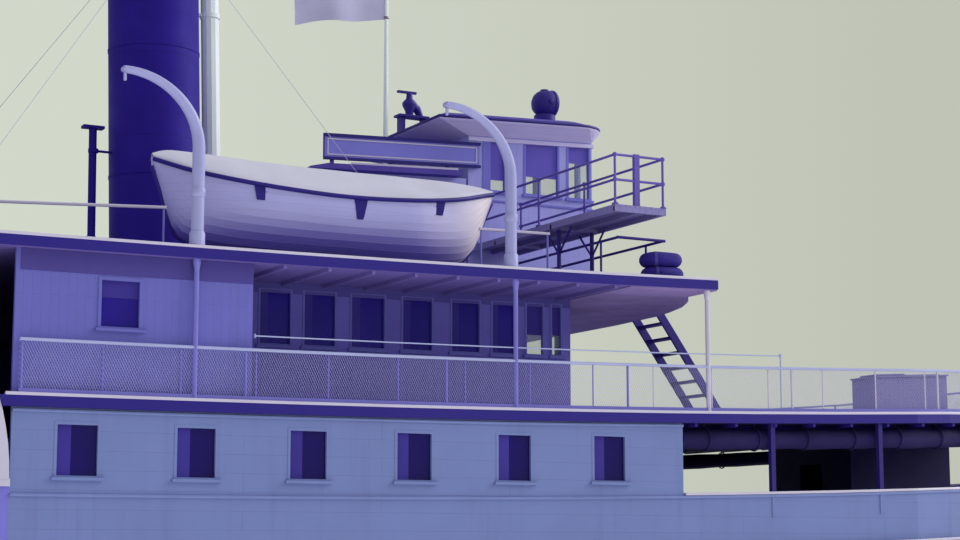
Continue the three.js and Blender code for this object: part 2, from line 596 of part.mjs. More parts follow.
// Its roof: a sloping eave, rounded at the fore corners, under a low crown
const EAVE = { aft: 12.06, y: 2.5, fore: 15.7, tip: 16.95 };
const EAVE_BOW = [[16.22, 2.33], [16.52, 2.02], [16.75, 1.4]];
const eavePlan = () => {
  const port = EAVE_BOW.map(([x, y]) => [x, y]).toReversed();
  return [[EAVE.aft, -EAVE.y], [EAVE.fore, -EAVE.y], ...EAVE_BOW.map(([x, y]) => [x, -y]),
    [EAVE.tip, 0], ...port, [EAVE.fore, EAVE.y], [EAVE.aft, EAVE.y]];
};
// each row: share of the way out from the walls to the eave, and rise above the walls
const ROOF_ROWS = [[0.06, 0], [0.94, 0.24], [1, 0.27], [1, 0.33], [0.97, 0.35]];
const CROWN = { share: 0.86, rise: 0.46, middle: 14.5 };
const pilotRoof = () => {
  const [inner, outer] = [pilotPlan(0), eavePlan()];
  const rows = ROOF_ROWS.map(([share, rise]) => outer.map(([x, y], i) => {
    const [px, py] = [inner[i][0] + (x - inner[i][0]) * share, inner[i][1] + (y - inner[i][1]) * share];
    return [px, py, raked(px, PILOT.top + rise) + GAP];
  }));
  const crown = outer.map(([x, y]) => {
    const px = CROWN.middle + (x - CROWN.middle) * CROWN.share;
    return [px, y * CROWN.share, raked(px, PILOT.top + CROWN.rise)];
  });
  return loft([...rows, crown]);
};
piece('pilot_roof', pilotRoof(), PAINT.dark);

// Bridge wings: a cross platform with railings, over a lower rail on the deck
const BRIDGE = { x0: 13.08, x1: 14.28, y: 8.1, top: 10.55, thick: 0.14, legY: 5.6 };
const LOWER_RAIL = { x0: 13.34, x1: 14.41, y: 7.8, z: 9.95, legY: 7.15, bar: 0.03, end: 0.034,
  leg: 0.026 };
const bridge = () => SIDES.flatMap(([, side]) => {
  const [inner, outer] = [PILOT.y + GAP, BRIDGE.y];
  const [y0, y1] = [side * inner, side * outer].sort((a, b) => a - b);
  const parts = [block(BRIDGE.x0, BRIDGE.x1, y0, y1, BRIDGE.top - BRIDGE.thick, BRIDGE.top)];
  const corners = [outer - 0.05, (outer + inner) / 2, inner + 0.3];
  for (const x of [BRIDGE.x0 + 0.04, BRIDGE.x1 - 0.04]) {
    for (const y of corners) {
      parts.push(bar([x, side * y, BRIDGE.top - 0.05], [x, side * y, BRIDGE.top + 1.03], 0.04, 4));
    }
    for (const rise of [0.5, 1.0]) {
      parts.push(bar([x, side * (inner + 0.28), BRIDGE.top + rise],
        [x, side * (outer - 0.03), BRIDGE.top + rise], 0.035, 4));
    }
  }
  for (const rise of [0.5, 1.0]) {
    parts.push(bar([BRIDGE.x0 + 0.02, side * (outer - 0.05), BRIDGE.top + rise],
      [BRIDGE.x1 - 0.02, side * (outer - 0.05), BRIDGE.top + rise], 0.035, 4));
  }
  for (const x of [BRIDGE.x0 + 0.2, BRIDGE.x1 - 0.2]) {
    parts.push(bar([x, side * BRIDGE.legY, HURRICANE - 0.05],
      [x, side * BRIDGE.legY, BRIDGE.top - 0.1], 0.06, 4));
  }
  for (const x of [LOWER_RAIL.x0, LOWER_RAIL.x1]) {
    parts.push(bar([x, side * (inner + 0.1), LOWER_RAIL.z], [x, side * LOWER_RAIL.y, LOWER_RAIL.z],
      LOWER_RAIL.bar, 4));
    for (const y of [LOWER_RAIL.legY, inner + 0.4]) {
      parts.push(bar([x, side * y, HURRICANE - 0.05], [x, side * y, LOWER_RAIL.z],
        LOWER_RAIL.leg, 4));
    }
  }
  parts.push(bar([LOWER_RAIL.x0 - 0.05, side * LOWER_RAIL.y, LOWER_RAIL.z],
    [LOWER_RAIL.x1 + 0.05, side * LOWER_RAIL.y, LOWER_RAIL.z], LOWER_RAIL.end, 4));
  return [standing(join(...parts), HURRICANE)];
});
const [bridgeStarboard, bridgePort] = bridge();
piece('bridge_wing_starboard', bridgeStarboard, PAINT.cream);
piece('bridge_wing_port', bridgePort, PAINT.cream);

// Stacked life floats on the hurricane deck, below the bridge wing
const FLOATS = { x: 14.12, y: -8.16, length: 0.84, width: 0.66, high: 0.58 };
const floats = () => {
  const base = HURRICANE + sheer(FLOATS.x) - 0.02;
  // each row: share of the height and share of the width and length
  const rows = [[0, 0.88], [0.18, 1], [0.42, 1], [0.5, 0.93], [0.58, 1], [0.82, 1], [1, 0.85]];
  return standing(loft(rows.map(([rise, share]) => {
    const [dx, dy, bevel] = [FLOATS.length / 2 * share, FLOATS.width / 2 * share, 0.16];
    const corners = [[dx, bevel - dy], [dx, dy - bevel], [dx - bevel, dy], [bevel - dx, dy],
      [-dx, dy - bevel], [-dx, bevel - dy], [bevel - dx, -dy], [dx - bevel, -dy]];
    return corners.map(([x, y]) => [FLOATS.x + x, FLOATS.y + y, base + FLOATS.high * rise]);
  })), HURRICANE);
};
piece('life_floats', floats(), PAINT.dark);

// Searchlight on the pilot-house roof: a rounded drum on a low round base
const LAMP = { x: 16.2, z: 14.56, sides: 20, foot: 0.26 };
const lampFoot = raked(LAMP.x + LAMP.foot, PILOT.top + CROWN.rise) + GAP;
// each row: place fore and aft of the middle, and radius
const LAMP_ROWS = [[-0.3, 0.13], [-0.24, 0.23], [-0.12, 0.31], [0.02, 0.335], [0.16, 0.325],
  [0.25, 0.29], [0.29, 0.24]];
piece('searchlight', join(
  loft(LAMP_ROWS.map(([along, radius]) => arc(0, 0, radius, 0, 360, LAMP.sides).slice(0, -1)
    .map(([y, z]) => [LAMP.x + along, y, LAMP.z + z]))),
  bar([LAMP.x, 0, lampFoot], [LAMP.x, 0, LAMP.z - 0.2], LAMP.foot, 16)), PAINT.dark);

// Funnel, raked aft, with its slim steam pipe; the pale whistle pipe stands before it
const FUNNEL = { x: 6.5, radius: 0.985, foot: HURRICANE - 0.1, top: 20.2, rake: 0.032 };
const funnel = () => {
  const lean = (z) => FUNNEL.x - (z - FUNNEL.foot) * FUNNEL.rake;
  const ring = (z, radius) => arc(lean(z), 0, radius, 0, 360, 24).slice(0, -1)
    .map(([x, y]) => [x, y, z]);
  const tube = loft([ring(FUNNEL.foot, FUNNEL.radius), ring(FUNNEL.top - 0.35, FUNNEL.radius),
    ring(FUNNEL.top - 0.3, FUNNEL.radius + 0.09), ring(FUNNEL.top, FUNNEL.radius + 0.09)]);
  const bore = loft([ring(FUNNEL.foot + 4, FUNNEL.radius - 0.06),
    ring(FUNNEL.top + 0.5, FUNNEL.radius - 0.06)]);
  const pipe = bar([5.05, 0, FUNNEL.foot], [5.0, 0, 12.82], 0.085, 8);
  const ties = [10.4, 12.3].map((z) => bar([5.0, 0, z], [lean(z), 0, z], 0.03, 4));
  const cap = bar([4.75, 0, 12.8], [5.25, 0, 12.8], 0.04, 4);
  return standing(join(cut(tube, bore), pipe, ...ties, cap), HURRICANE);
};
piece('funnel', funnel(), PAINT.funnel);
piece('whistle_pipe', standing(join(bar([7.8, 0, FUNNEL.foot], [7.54, 0, 17.2], 0.2, 12),
  bar([7.54, 0, 17.1], [7.53, 0, 17.6], 0.13, 12)), HURRICANE), PAINT.cream);

// Gallows frame: four legs that carry the walking beam
const GALLOWS = { spread: 2.1, footY: 1.5, headY: 0.62, leg: 0.16 };
const gallows = () => SIDES.flatMap(([, side]) => [
  ...[-1, 1].map((end) => bar(
    [TRUNNION.x + end * GALLOWS.spread, side * GALLOWS.footY, HURRICANE + 0.05],
    [TRUNNION.x + end * 0.25, side * GALLOWS.headY, TRUNNION.z - 0.1], GALLOWS.leg, 4)),
  block(TRUNNION.x - 0.55, TRUNNION.x + 0.55, side * GALLOWS.headY - 0.18, side * GALLOWS.headY + 0.18,
    TRUNNION.z - 0.4, TRUNNION.z + 0.3),
  block(TRUNNION.x - GALLOWS.spread - 0.3, TRUNNION.x + GALLOWS.spread + 0.3,
    side * GALLOWS.footY - 0.2, side * GALLOWS.footY + 0.2, HURRICANE - 0.05, HURRICANE + 0.2),
]).concat([-1, 1].map((end) => block(TRUNNION.x + end * 1.3 - 0.1, TRUNNION.x + end * 1.3 + 0.1,
  -1.2, 1.2, HURRICANE + 1.35, HURRICANE + 1.55)));
const PIN = { trunnion: 0.15, rod: 0.09, sides: 24 };
const trunnionHole = bar([TRUNNION.x, -2, TRUNNION.z], [TRUNNION.x, 2, TRUNNION.z],
  holeFor(PIN.trunnion, PIN.sides), PIN.sides);
piece('gallows_frame', standing(cut(join(...gallows()), trunnionHole), HURRICANE), PAINT.dark);

// Walking beam: a diamond of iron that rocks on the gallows
const walkingBeam = () => {
  const [x, z, arm] = [TRUNNION.x, TRUNNION.z, BEAM_ARM];
  const rim = plate([[x - arm - 0.28, z - 0.22], [x, z - 1.05], [x + arm + 0.28, z - 0.22],
    [x + arm + 0.28, z + 0.22], [x, z + 1.05], [x - arm - 0.28, z + 0.22]], -0.16, 0.16);
  const gaps = [-1, 1].flatMap((end) => [-1, 1].map((up) => plate([[x + end * 0.3, z + up * 0.16],
    [x + end * 2.55, z + up * 0.12], [x + end * 0.3, z + up * 0.78]], -0.5, 0.5)));
  const pins = [-1, 1].map((end) => bar([x + end * arm, -0.42, z], [x + end * arm, 0.42, z],
    PIN.rod, PIN.sides));
  const axle = bar([x, -0.85, z], [x, 0.85, z], PIN.trunnion, PIN.sides);
  return join(cut(rim, gaps), axle, ...pins);
};
piece('walking_beam', walkingBeam(), PAINT.iron);

// Rods that hang from the ends of the beam, forked round it, through slots in the deck
const ROD_FOOT = 7.75;
function forkedRod(x, foot) {
  const ears = SIDES.map(([, side]) => {
    const [y0, y1] = [side * 0.22, side * 0.34].sort((a, b) => a - b);
    return block(x - 0.16, x + 0.16, y0, y1, TRUNNION.z - 1.7, TRUNNION.z + 0.2);
  });
  const bridgePiece = block(x - 0.16, x + 0.16, -0.34, 0.34, TRUNNION.z - 1.75, TRUNNION.z - 1.5);
  const stem = bar([x, 0, foot], [x, 0, TRUNNION.z - 1.6], 0.11, 10);
  const hole = bar([x, -1, TRUNNION.z], [x, 1, TRUNNION.z], holeFor(PIN.rod, PIN.sides), PIN.sides);
  return cut(join(...ears, bridgePiece, stem), hole);
}
piece('connecting_rod', forkedRod(SHAFT.x, ROD_FOOT), PAINT.iron);
piece('piston_link', forkedRod(TRUNNION.x - BEAM_ARM, ROD_FOOT), PAINT.iron);

// Engine and boiler as plain blocks on the main deck, joined by the steam main
piece('engine_and_boiler', standing(join(
  block(-11.0, -4.0, -1.4, 1.4, DEPTH, 6.0), block(1.4, 8.2, -1.9, 1.9, DEPTH, 6.0),
  block(-4.2, 1.6, -0.15, 0.15, 5.5, 5.8)), MAIN), PAINT.iron);

// Paddle shaft and wheels
piece('paddle_shaft', bar([SHAFT.x, -WHEEL.outer - 0.1, SHAFT.z],
  [SHAFT.x, WHEEL.outer + 0.1, SHAFT.z], SHAFT.radius, SHAFT.sides), PAINT.iron);
function wheelFrame(y0, y1) {
  const { x, z } = SHAFT;
  const { arms, rim, hub, arm } = WHEEL;
  const shape = new THREE.Shape(arc(x, z, rim.outer, 0, 360, 2 * arms).slice(0, -1)
    .map((point) => new THREE.Vector2(...point)));
  for (let i = 0; i < arms; i++) {
    const [start, step] = [360 / arms * i, 360 / arms];
    const lean = (radius) => THREE.MathUtils.radToDeg(arm / radius);
    const outer = arc(x, z, rim.inner, start + lean(rim.inner), start + step - lean(rim.inner), 2);
    const inner = arc(x, z, hub, start + step - lean(hub), start + lean(hub), 1);
    shape.holes.push(new THREE.Path([...outer, ...inner].map((point) => new THREE.Vector2(...point))));
  }
  const geometry = new THREE.ExtrudeGeometry(shape, { depth: Math.abs(y1 - y0), bevelEnabled: false });
  return solidOf(geometry.rotateX(Math.PI / 2).translate(0, Math.max(y0, y1), 0));
}
function paddleWheel(side) {
  const { x, z } = SHAFT;
  const frameAt = (y) => wheelFrame(side * (y - 0.07), side * (y + 0.07));
  const parts = [frameAt(WHEEL.inner + 0.3), frameAt(WHEEL.outer - 0.3)];
  const [y0, y1] = [side * WHEEL.inner, side * WHEEL.outer].sort((a, b) => a - b);
  parts.push(bar([x, y0, z], [x, y1, z], 0.42, 16));
  for (let i = 0; i < WHEEL.arms; i++) {
    const angle = (i + 0.5) * 2 * Math.PI / WHEEL.arms;
    const [cos, sin] = [Math.cos(angle), Math.sin(angle)];
    const corner = (radius, across) =>
      [x + radius * cos - across * sin, z + radius * sin + across * cos];
    const [low, high, half] = [WHEEL.radius - WHEEL.floatDepth, WHEEL.radius - 0.01, 0.045];
    parts.push(plate([corner(low, -half), corner(high, -half), corner(high, half),
      corner(low, half)], y0, y1));
  }
  const hole = bar([x, side * (WHEEL.inner - 1), z], [x, side * (WHEEL.outer + 1), z],
    SHAFT.radius + GAP, SHAFT.sides);
  return cut(join(...parts), hole);
}
for (const [name, side] of SIDES) piece(`paddle_wheel_${name}`, paddleWheel(side), PAINT.red);

// Lifeboats on their chocks, each with a stretched cover
const BOAT = { length: 6.96, halfBeam: 0.95, y: 6.8, keel: 0.25 };
const BOATS = [
  { place: 'fore', x: 7.55, davits: [4.31, 10.47] },
  { place: 'aft', x: -19.0, davits: [-22.24, -16.08] },
];
// each row: place as a share of the half length, breadth share, keel rise, gunwale, ridge
const BOAT_ROWS = [
  [-1, 0.05, 1.5, 1.64, 1.7], [-0.955, 0.14, 1.1, 1.58, 1.76], [-0.915, 0.26, 0.62, 1.52, 1.79],
  [-0.86, 0.42, 0.24, 1.44, 1.8], [-0.7, 0.7, 0.07, 1.3, 1.79], [-0.4, 0.93, 0, 1.16, 1.75],
  [0, 1, 0, 1.09, 1.73], [0.4, 0.96, 0, 1.15, 1.73], [0.68, 0.76, 0.05, 1.28, 1.72],
  [0.81, 0.57, 0.18, 1.39, 1.7], [0.88, 0.42, 0.48, 1.46, 1.68], [0.94, 0.25, 0.95, 1.52, 1.65],
  [1, 0.06, 1.4, 1.58, 1.61],
];
function lifeboat(x, side) {
  const base = HURRICANE + sheer(x) + BOAT.keel;
  const rings = BOAT_ROWS.map(([along, wide, keel, gunwale, ridge]) => {
    const [px, y] = [x + along * BOAT.length / 2, BOAT.halfBeam * wide];
    const mid = keel + (gunwale - keel) * 0.45;
    const half = [[0.25, keel], [0.82, keel + (mid - keel) * 0.45], [0.98, mid], [1, gunwale],
      [0.55, (gunwale + ridge) / 2 + 0.03], [0.08, ridge]];
    return [...half.map(([share, rise]) => [px, side * BOAT.y + share * y, base + rise]),
      ...half.toReversed().map(([share, rise]) => [px, side * BOAT.y - share * y, base + rise])];
  });
  const chocks = [-0.42, 0.42].map((share) => {
    const px = x + share * BOAT.length / 2;
    return block(px - 0.08, px + 0.08, side * BOAT.y - 0.4, side * BOAT.y + 0.4,
      HURRICANE - 0.05, base + 0.12);
  });
  return standing(join(loft(rings), ...chocks), HURRICANE);
}
for (const { place, x } of BOATS) {
  for (const [name, side] of SIDES) piece(`lifeboat_${place}_${name}`, lifeboat(x, side), PAINT.canvas);
}

// Davits: tall tubes whose curved heads point aft
const DAVIT = { y: 8.6, radius: 0.11, reach: 1.35, rise: 3.0, bend: 1.25, socket: 0.13 };
function davit(x, side) {
  // flat below, and just off the highest place of the deck under it, so that it can turn
  const foot = HURRICANE + Math.max(sheer(x - DAVIT.socket), sheer(x + DAVIT.socket)) + GAP;
  const bendStart = foot + DAVIT.rise - DAVIT.bend;
  const head = Array.from({ length: 7 }, (_, i) => {
    const angle = Math.PI / 2 * i / 6;
    return [x - DAVIT.reach * (1 - Math.cos(angle)), side * DAVIT.y,
      bendStart + DAVIT.bend * Math.sin(angle)];
  });
  const tube = [[x, side * DAVIT.y, foot + 0.1], ...head];
  const section = (point, index) => {
    const angle = index < 1 ? 0 : Math.PI / 2 * (index - 1) / 6;
    const taper = DAVIT.radius * (1 - 0.06 * index);
    return Array.from({ length: 8 }, (_, i) => {
      const turn = 2 * Math.PI * i / 8;
      const [across, out] = [Math.cos(turn) * taper, Math.sin(turn) * taper];
      return [point[0] + across * Math.cos(angle), point[1] + out,
        point[2] + across * Math.sin(angle)];
    });
  };
  const socket = bar([x, side * DAVIT.y, foot], [x, side * DAVIT.y, foot + 0.3], DAVIT.socket, 12);
  return join(loft(tube.map(section)), socket);
}
for (const { place, davits } of BOATS) {
  for (const [name, side] of SIDES) {
    davits.forEach((x, i) => piece(`davit_${place}_${'ab'[i]}_${name}`, davit(x, side), PAINT.cream));
  }
}

// Flagstaff behind the pilot house and its cloth
const STAFF = { x: 11.94, top: 18.2, radius: 0.06, headRadius: 0.035 };
const staffFoot = raked(STAFF.x + STAFF.radius, TEXAS.top + TEXAS.roof) + 2 * GAP;
piece('flagstaff', bar([STAFF.x, 0, staffFoot], [STAFF.x, 0, STAFF.top], STAFF.radius, 8,
  STAFF.headRadius), PAINT.cream);
piece('flag', plate([[STAFF.x - 2.3, 15.75], [STAFF.x - 0.0411, 16.1], [STAFF.x - 0.0354, 17.6],
  [STAFF.x - 2.3, 17.3]], -0.02, 0.02), PAINT.cloth);

// Ladder from the promenade deck up to the bow of the hurricane deck
const LADDER = { y0: -4.2, y1: -3.2, topX: 16.61, footX: 18.4, treads: 8 };
const ladder = () => {
  const top = HURRICANE + sheer(LADDER.topX) - 0.1;
  const foot = PROMENADE + sheer(LADDER.footX);
  const parts = [LADDER.y0, LADDER.y1].map((y) => loft(
    [[LADDER.topX, top], [LADDER.footX, foot]].map(([x, z]) => [[x, y - 0.03, z - 0.08],
      [x, y + 0.03, z - 0.08], [x + 0.16, y + 0.03, z], [x + 0.16, y - 0.03, z]])));
  for (let i = 0; i < LADDER.treads; i++) {
    const share = (i + 0.6) / LADDER.treads;
    const [x, z] = [LADDER.topX + (LADDER.footX - LADDER.topX) * share, top + (foot - top) * share];
    parts.push(block(x - 0.02, x + 0.18, LADDER.y0, LADDER.y1, z - 0.06, z - 0.01));
  }
  return standing(join(...parts), PROMENADE);
};
piece('ladder', ladder(), PAINT.dark);

// Rudder on the sternpost, below the counter
const RUDDER = { x: -30.95, foot: HEEL_TOP + GAP, top: COUNTER_FOOT + 0.038, aft: -33.1 };
piece('rudder', join(
  plate([[RUDDER.x + 0.1, RUDDER.foot + 0.08], [RUDDER.x + 0.1, 2.3], [RUDDER.aft + 0.5, 2.3],
    [RUDDER.aft, 1.6], [RUDDER.aft, RUDDER.foot + 0.5],
    [RUDDER.aft + 0.4, RUDDER.foot + 0.08]], -0.07, 0.07),
  bar([RUDDER.x, 0, RUDDER.foot], [RUDDER.x, 0, RUDDER.top], 0.12, 12)), PAINT.dark);

export default ship;
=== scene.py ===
# %% [markdown]
# A side-wheel paddle steamer, dressed in Blender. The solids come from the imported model, and everything
# here is set on them in the same place. The ship's sizes are written at full size, in metres, and HALF
# turns them into the 1:2 model's.

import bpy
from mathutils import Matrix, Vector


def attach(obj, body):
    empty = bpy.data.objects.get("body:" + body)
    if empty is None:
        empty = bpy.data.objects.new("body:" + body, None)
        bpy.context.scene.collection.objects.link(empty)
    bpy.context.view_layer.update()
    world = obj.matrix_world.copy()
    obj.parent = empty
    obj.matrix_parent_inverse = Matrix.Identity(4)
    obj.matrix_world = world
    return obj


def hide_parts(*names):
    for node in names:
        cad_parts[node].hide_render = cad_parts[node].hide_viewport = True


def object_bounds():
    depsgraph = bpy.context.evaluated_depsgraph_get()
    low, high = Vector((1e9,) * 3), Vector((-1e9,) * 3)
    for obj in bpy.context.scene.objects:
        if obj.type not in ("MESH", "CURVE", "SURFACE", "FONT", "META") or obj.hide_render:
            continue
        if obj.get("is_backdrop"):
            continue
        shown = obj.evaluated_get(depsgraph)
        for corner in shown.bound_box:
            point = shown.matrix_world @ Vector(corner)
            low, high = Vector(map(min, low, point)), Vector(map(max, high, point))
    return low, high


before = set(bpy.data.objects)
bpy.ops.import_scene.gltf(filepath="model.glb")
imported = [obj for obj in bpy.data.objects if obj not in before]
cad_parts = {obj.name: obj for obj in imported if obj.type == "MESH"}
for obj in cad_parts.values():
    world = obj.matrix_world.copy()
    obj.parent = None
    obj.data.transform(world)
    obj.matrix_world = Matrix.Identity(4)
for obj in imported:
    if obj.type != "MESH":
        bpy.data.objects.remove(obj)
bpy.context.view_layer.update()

# %% [markdown]
# These are Blender's own modules and the numbers that the whole scene shares. The waterline is as far
# above the ship's flat bottom as she lies deep.

# %% Tools
from math import copysign, cos, hypot, pi, radians, sin, sqrt

import bmesh
import bpy
import numpy as np
from mathutils import Vector

HALF, WATERLINE, FLOOR_REACH = 0.5, 2.25, 300
scene = bpy.context.scene
print("model scale", HALF)

# %% [markdown]
# A finish can be wired by hand in the node editor. Here one helper adds a node, sets its values by
# their names and links what runs into it, so that a whole finish stays a few readable lines.

# %% Shader nodes
def add(tree, kind, links=(), **values):
    """A shader node: first its settings and values by name, then what runs into it."""
    node = tree.nodes.new("ShaderNode" + kind)
    for key, value in values.items():
        if hasattr(node, key):
            setattr(node, key, value)
        else:
            node.inputs[key.replace("_", " ")].default_value = value
    for source, socket in links:
        tree.links.new(source, node.inputs[socket])
    return node


print("Blender has", sum(kind.startswith("ShaderNode") for kind in dir(bpy.types)), "kinds of shader node")

# %% [markdown]
# The view is from low down, off the starboard side, up and forward. A camera can be set by eye, but
# this one was solved from points of the ship that are known to lie on straight lines, so the edges fall
# where they should.

# %% Camera
camera = bpy.data.objects.new("camera", bpy.data.cameras.new("camera"))
scene.collection.objects.link(camera)
camera.location = (-3.464, -19.92, 1.906)
camera.rotation_euler = (radians(90 + 8.2474), 0, radians(-28.1875))
camera.data.lens, camera.data.clip_end = 72.73, 400
scene.camera = camera
print("lens", camera.data.lens)

# %% [markdown]
# The day is one of bright haze with soft shadows. An image could light it, but a pale world and one
# very wide lamp from the bow are easier to steer. A second soft lamp from below stands for the glow
# that brightens the undersides of the decks.

# %% Light
VIEW_RIGHT = (0.881, -0.472, 0)
scene.view_settings.view_transform = "Standard"
scene.world = world = bpy.data.worlds.new("haze")
world.use_nodes = True
air = world.node_tree
backdrop = air.nodes["Background"]
across = add(air, "VectorMath", [(add(air, "TexCoord").outputs["Generated"], 0)], operation="DOT_PRODUCT")
across.inputs[1].default_value = VIEW_RIGHT
share = add(air, "MapRange", [(across.outputs["Value"], "Value")], From_Min=-0.2, From_Max=0.22)
haze = add(air, "Mix", [(share.outputs[0], 0)], data_type="RGBA")
haze.inputs[6].default_value = (0.640, 0.687, 0.594, 1)
haze.inputs[7].default_value = (0.520, 0.548, 0.468, 1)
air.links.new(haze.outputs[2], backdrop.inputs["Color"])
light = add(air, "Background", Color=(0.50, 0.505, 0.61, 1))
either = add(air, "MixShader", [(add(air, "LightPath").outputs["Is Camera Ray"], 0),
                                (light.outputs[0], 1), (backdrop.outputs[0], 2)])
air.links.new(either.outputs[0], air.nodes["World Output"].inputs["Surface"])
for name, energy, spread, way in (("bow_lamp", 2.5, 40, (0.86, -0.2, 0.5)),
                                  ("low_lamp", 2.0, 80, (-0.1, -0.62, -0.78))):
    lamp = bpy.data.objects.new(name, bpy.data.lights.new(name, "SUN"))
    lamp.data.energy, lamp.data.angle = energy, radians(spread)
    lamp.rotation_euler = Vector(way).to_track_quat("Z", "Y").to_euler()
    scene.collection.objects.link(lamp)
print("two lamps in a haze")

# %% [markdown]
# The floor lies at the waterline, so it hides the hull below that level. It is one plain square,
# because nothing on it matters, and it casts no shadow, so that the glow from below gets past it.

# %% Floor
floor_mesh = bpy.data.meshes.new("floor")
floor_mesh.from_pydata([(FLOOR_REACH * x, FLOOR_REACH * y, WATERLINE * HALF)
                        for x, y in ((-1, -1), (1, -1), (1, 1), (-1, 1))], [], [(0, 1, 2, 3)])
floor_paint = bpy.data.materials.new("pale_floor")
floor_paint.use_nodes = True
shader = floor_paint.node_tree.nodes["Principled BSDF"]
shader.inputs["Base Color"].default_value = (0.62, 0.64, 0.6, 1)
shader.inputs["Roughness"].default_value = 0.9
floor_mesh.materials.append(floor_paint)
floor = bpy.data.objects.new("floor", floor_mesh)
floor.visible_shadow = False
scene.collection.objects.link(floor)
floor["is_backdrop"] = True
print("floor at", WATERLINE * HALF)

# %% [markdown]
# Paint on a ship is never one flat colour. An image could show that, but nodes need no picture and fit
# any size. A tone that varies at random comes from a large soft noise, rain marks from a noise stretched
# downwards, and boards from the brick pattern, whose joints also sink the surface. Where one solid has
# several colours, the way a face looks, or its height, picks the colour: faces that look down get a
# painted shade, faces that look forward a painted highlight of the bow lamp, and the pillars of the
# open ends, found by their place and height, a painted shade. Faces that look sideways can take a
# colour of their own.

# %% Finish of nodes
RAIN = (52, 38, 96)


def linear(colour):
    """A colour of 0 to 255 as the shader counts."""
    return [((c / 255 + 0.055) / 1.055) ** 2.4 if c > 10 else c / 255 / 12.92 for c in colour]


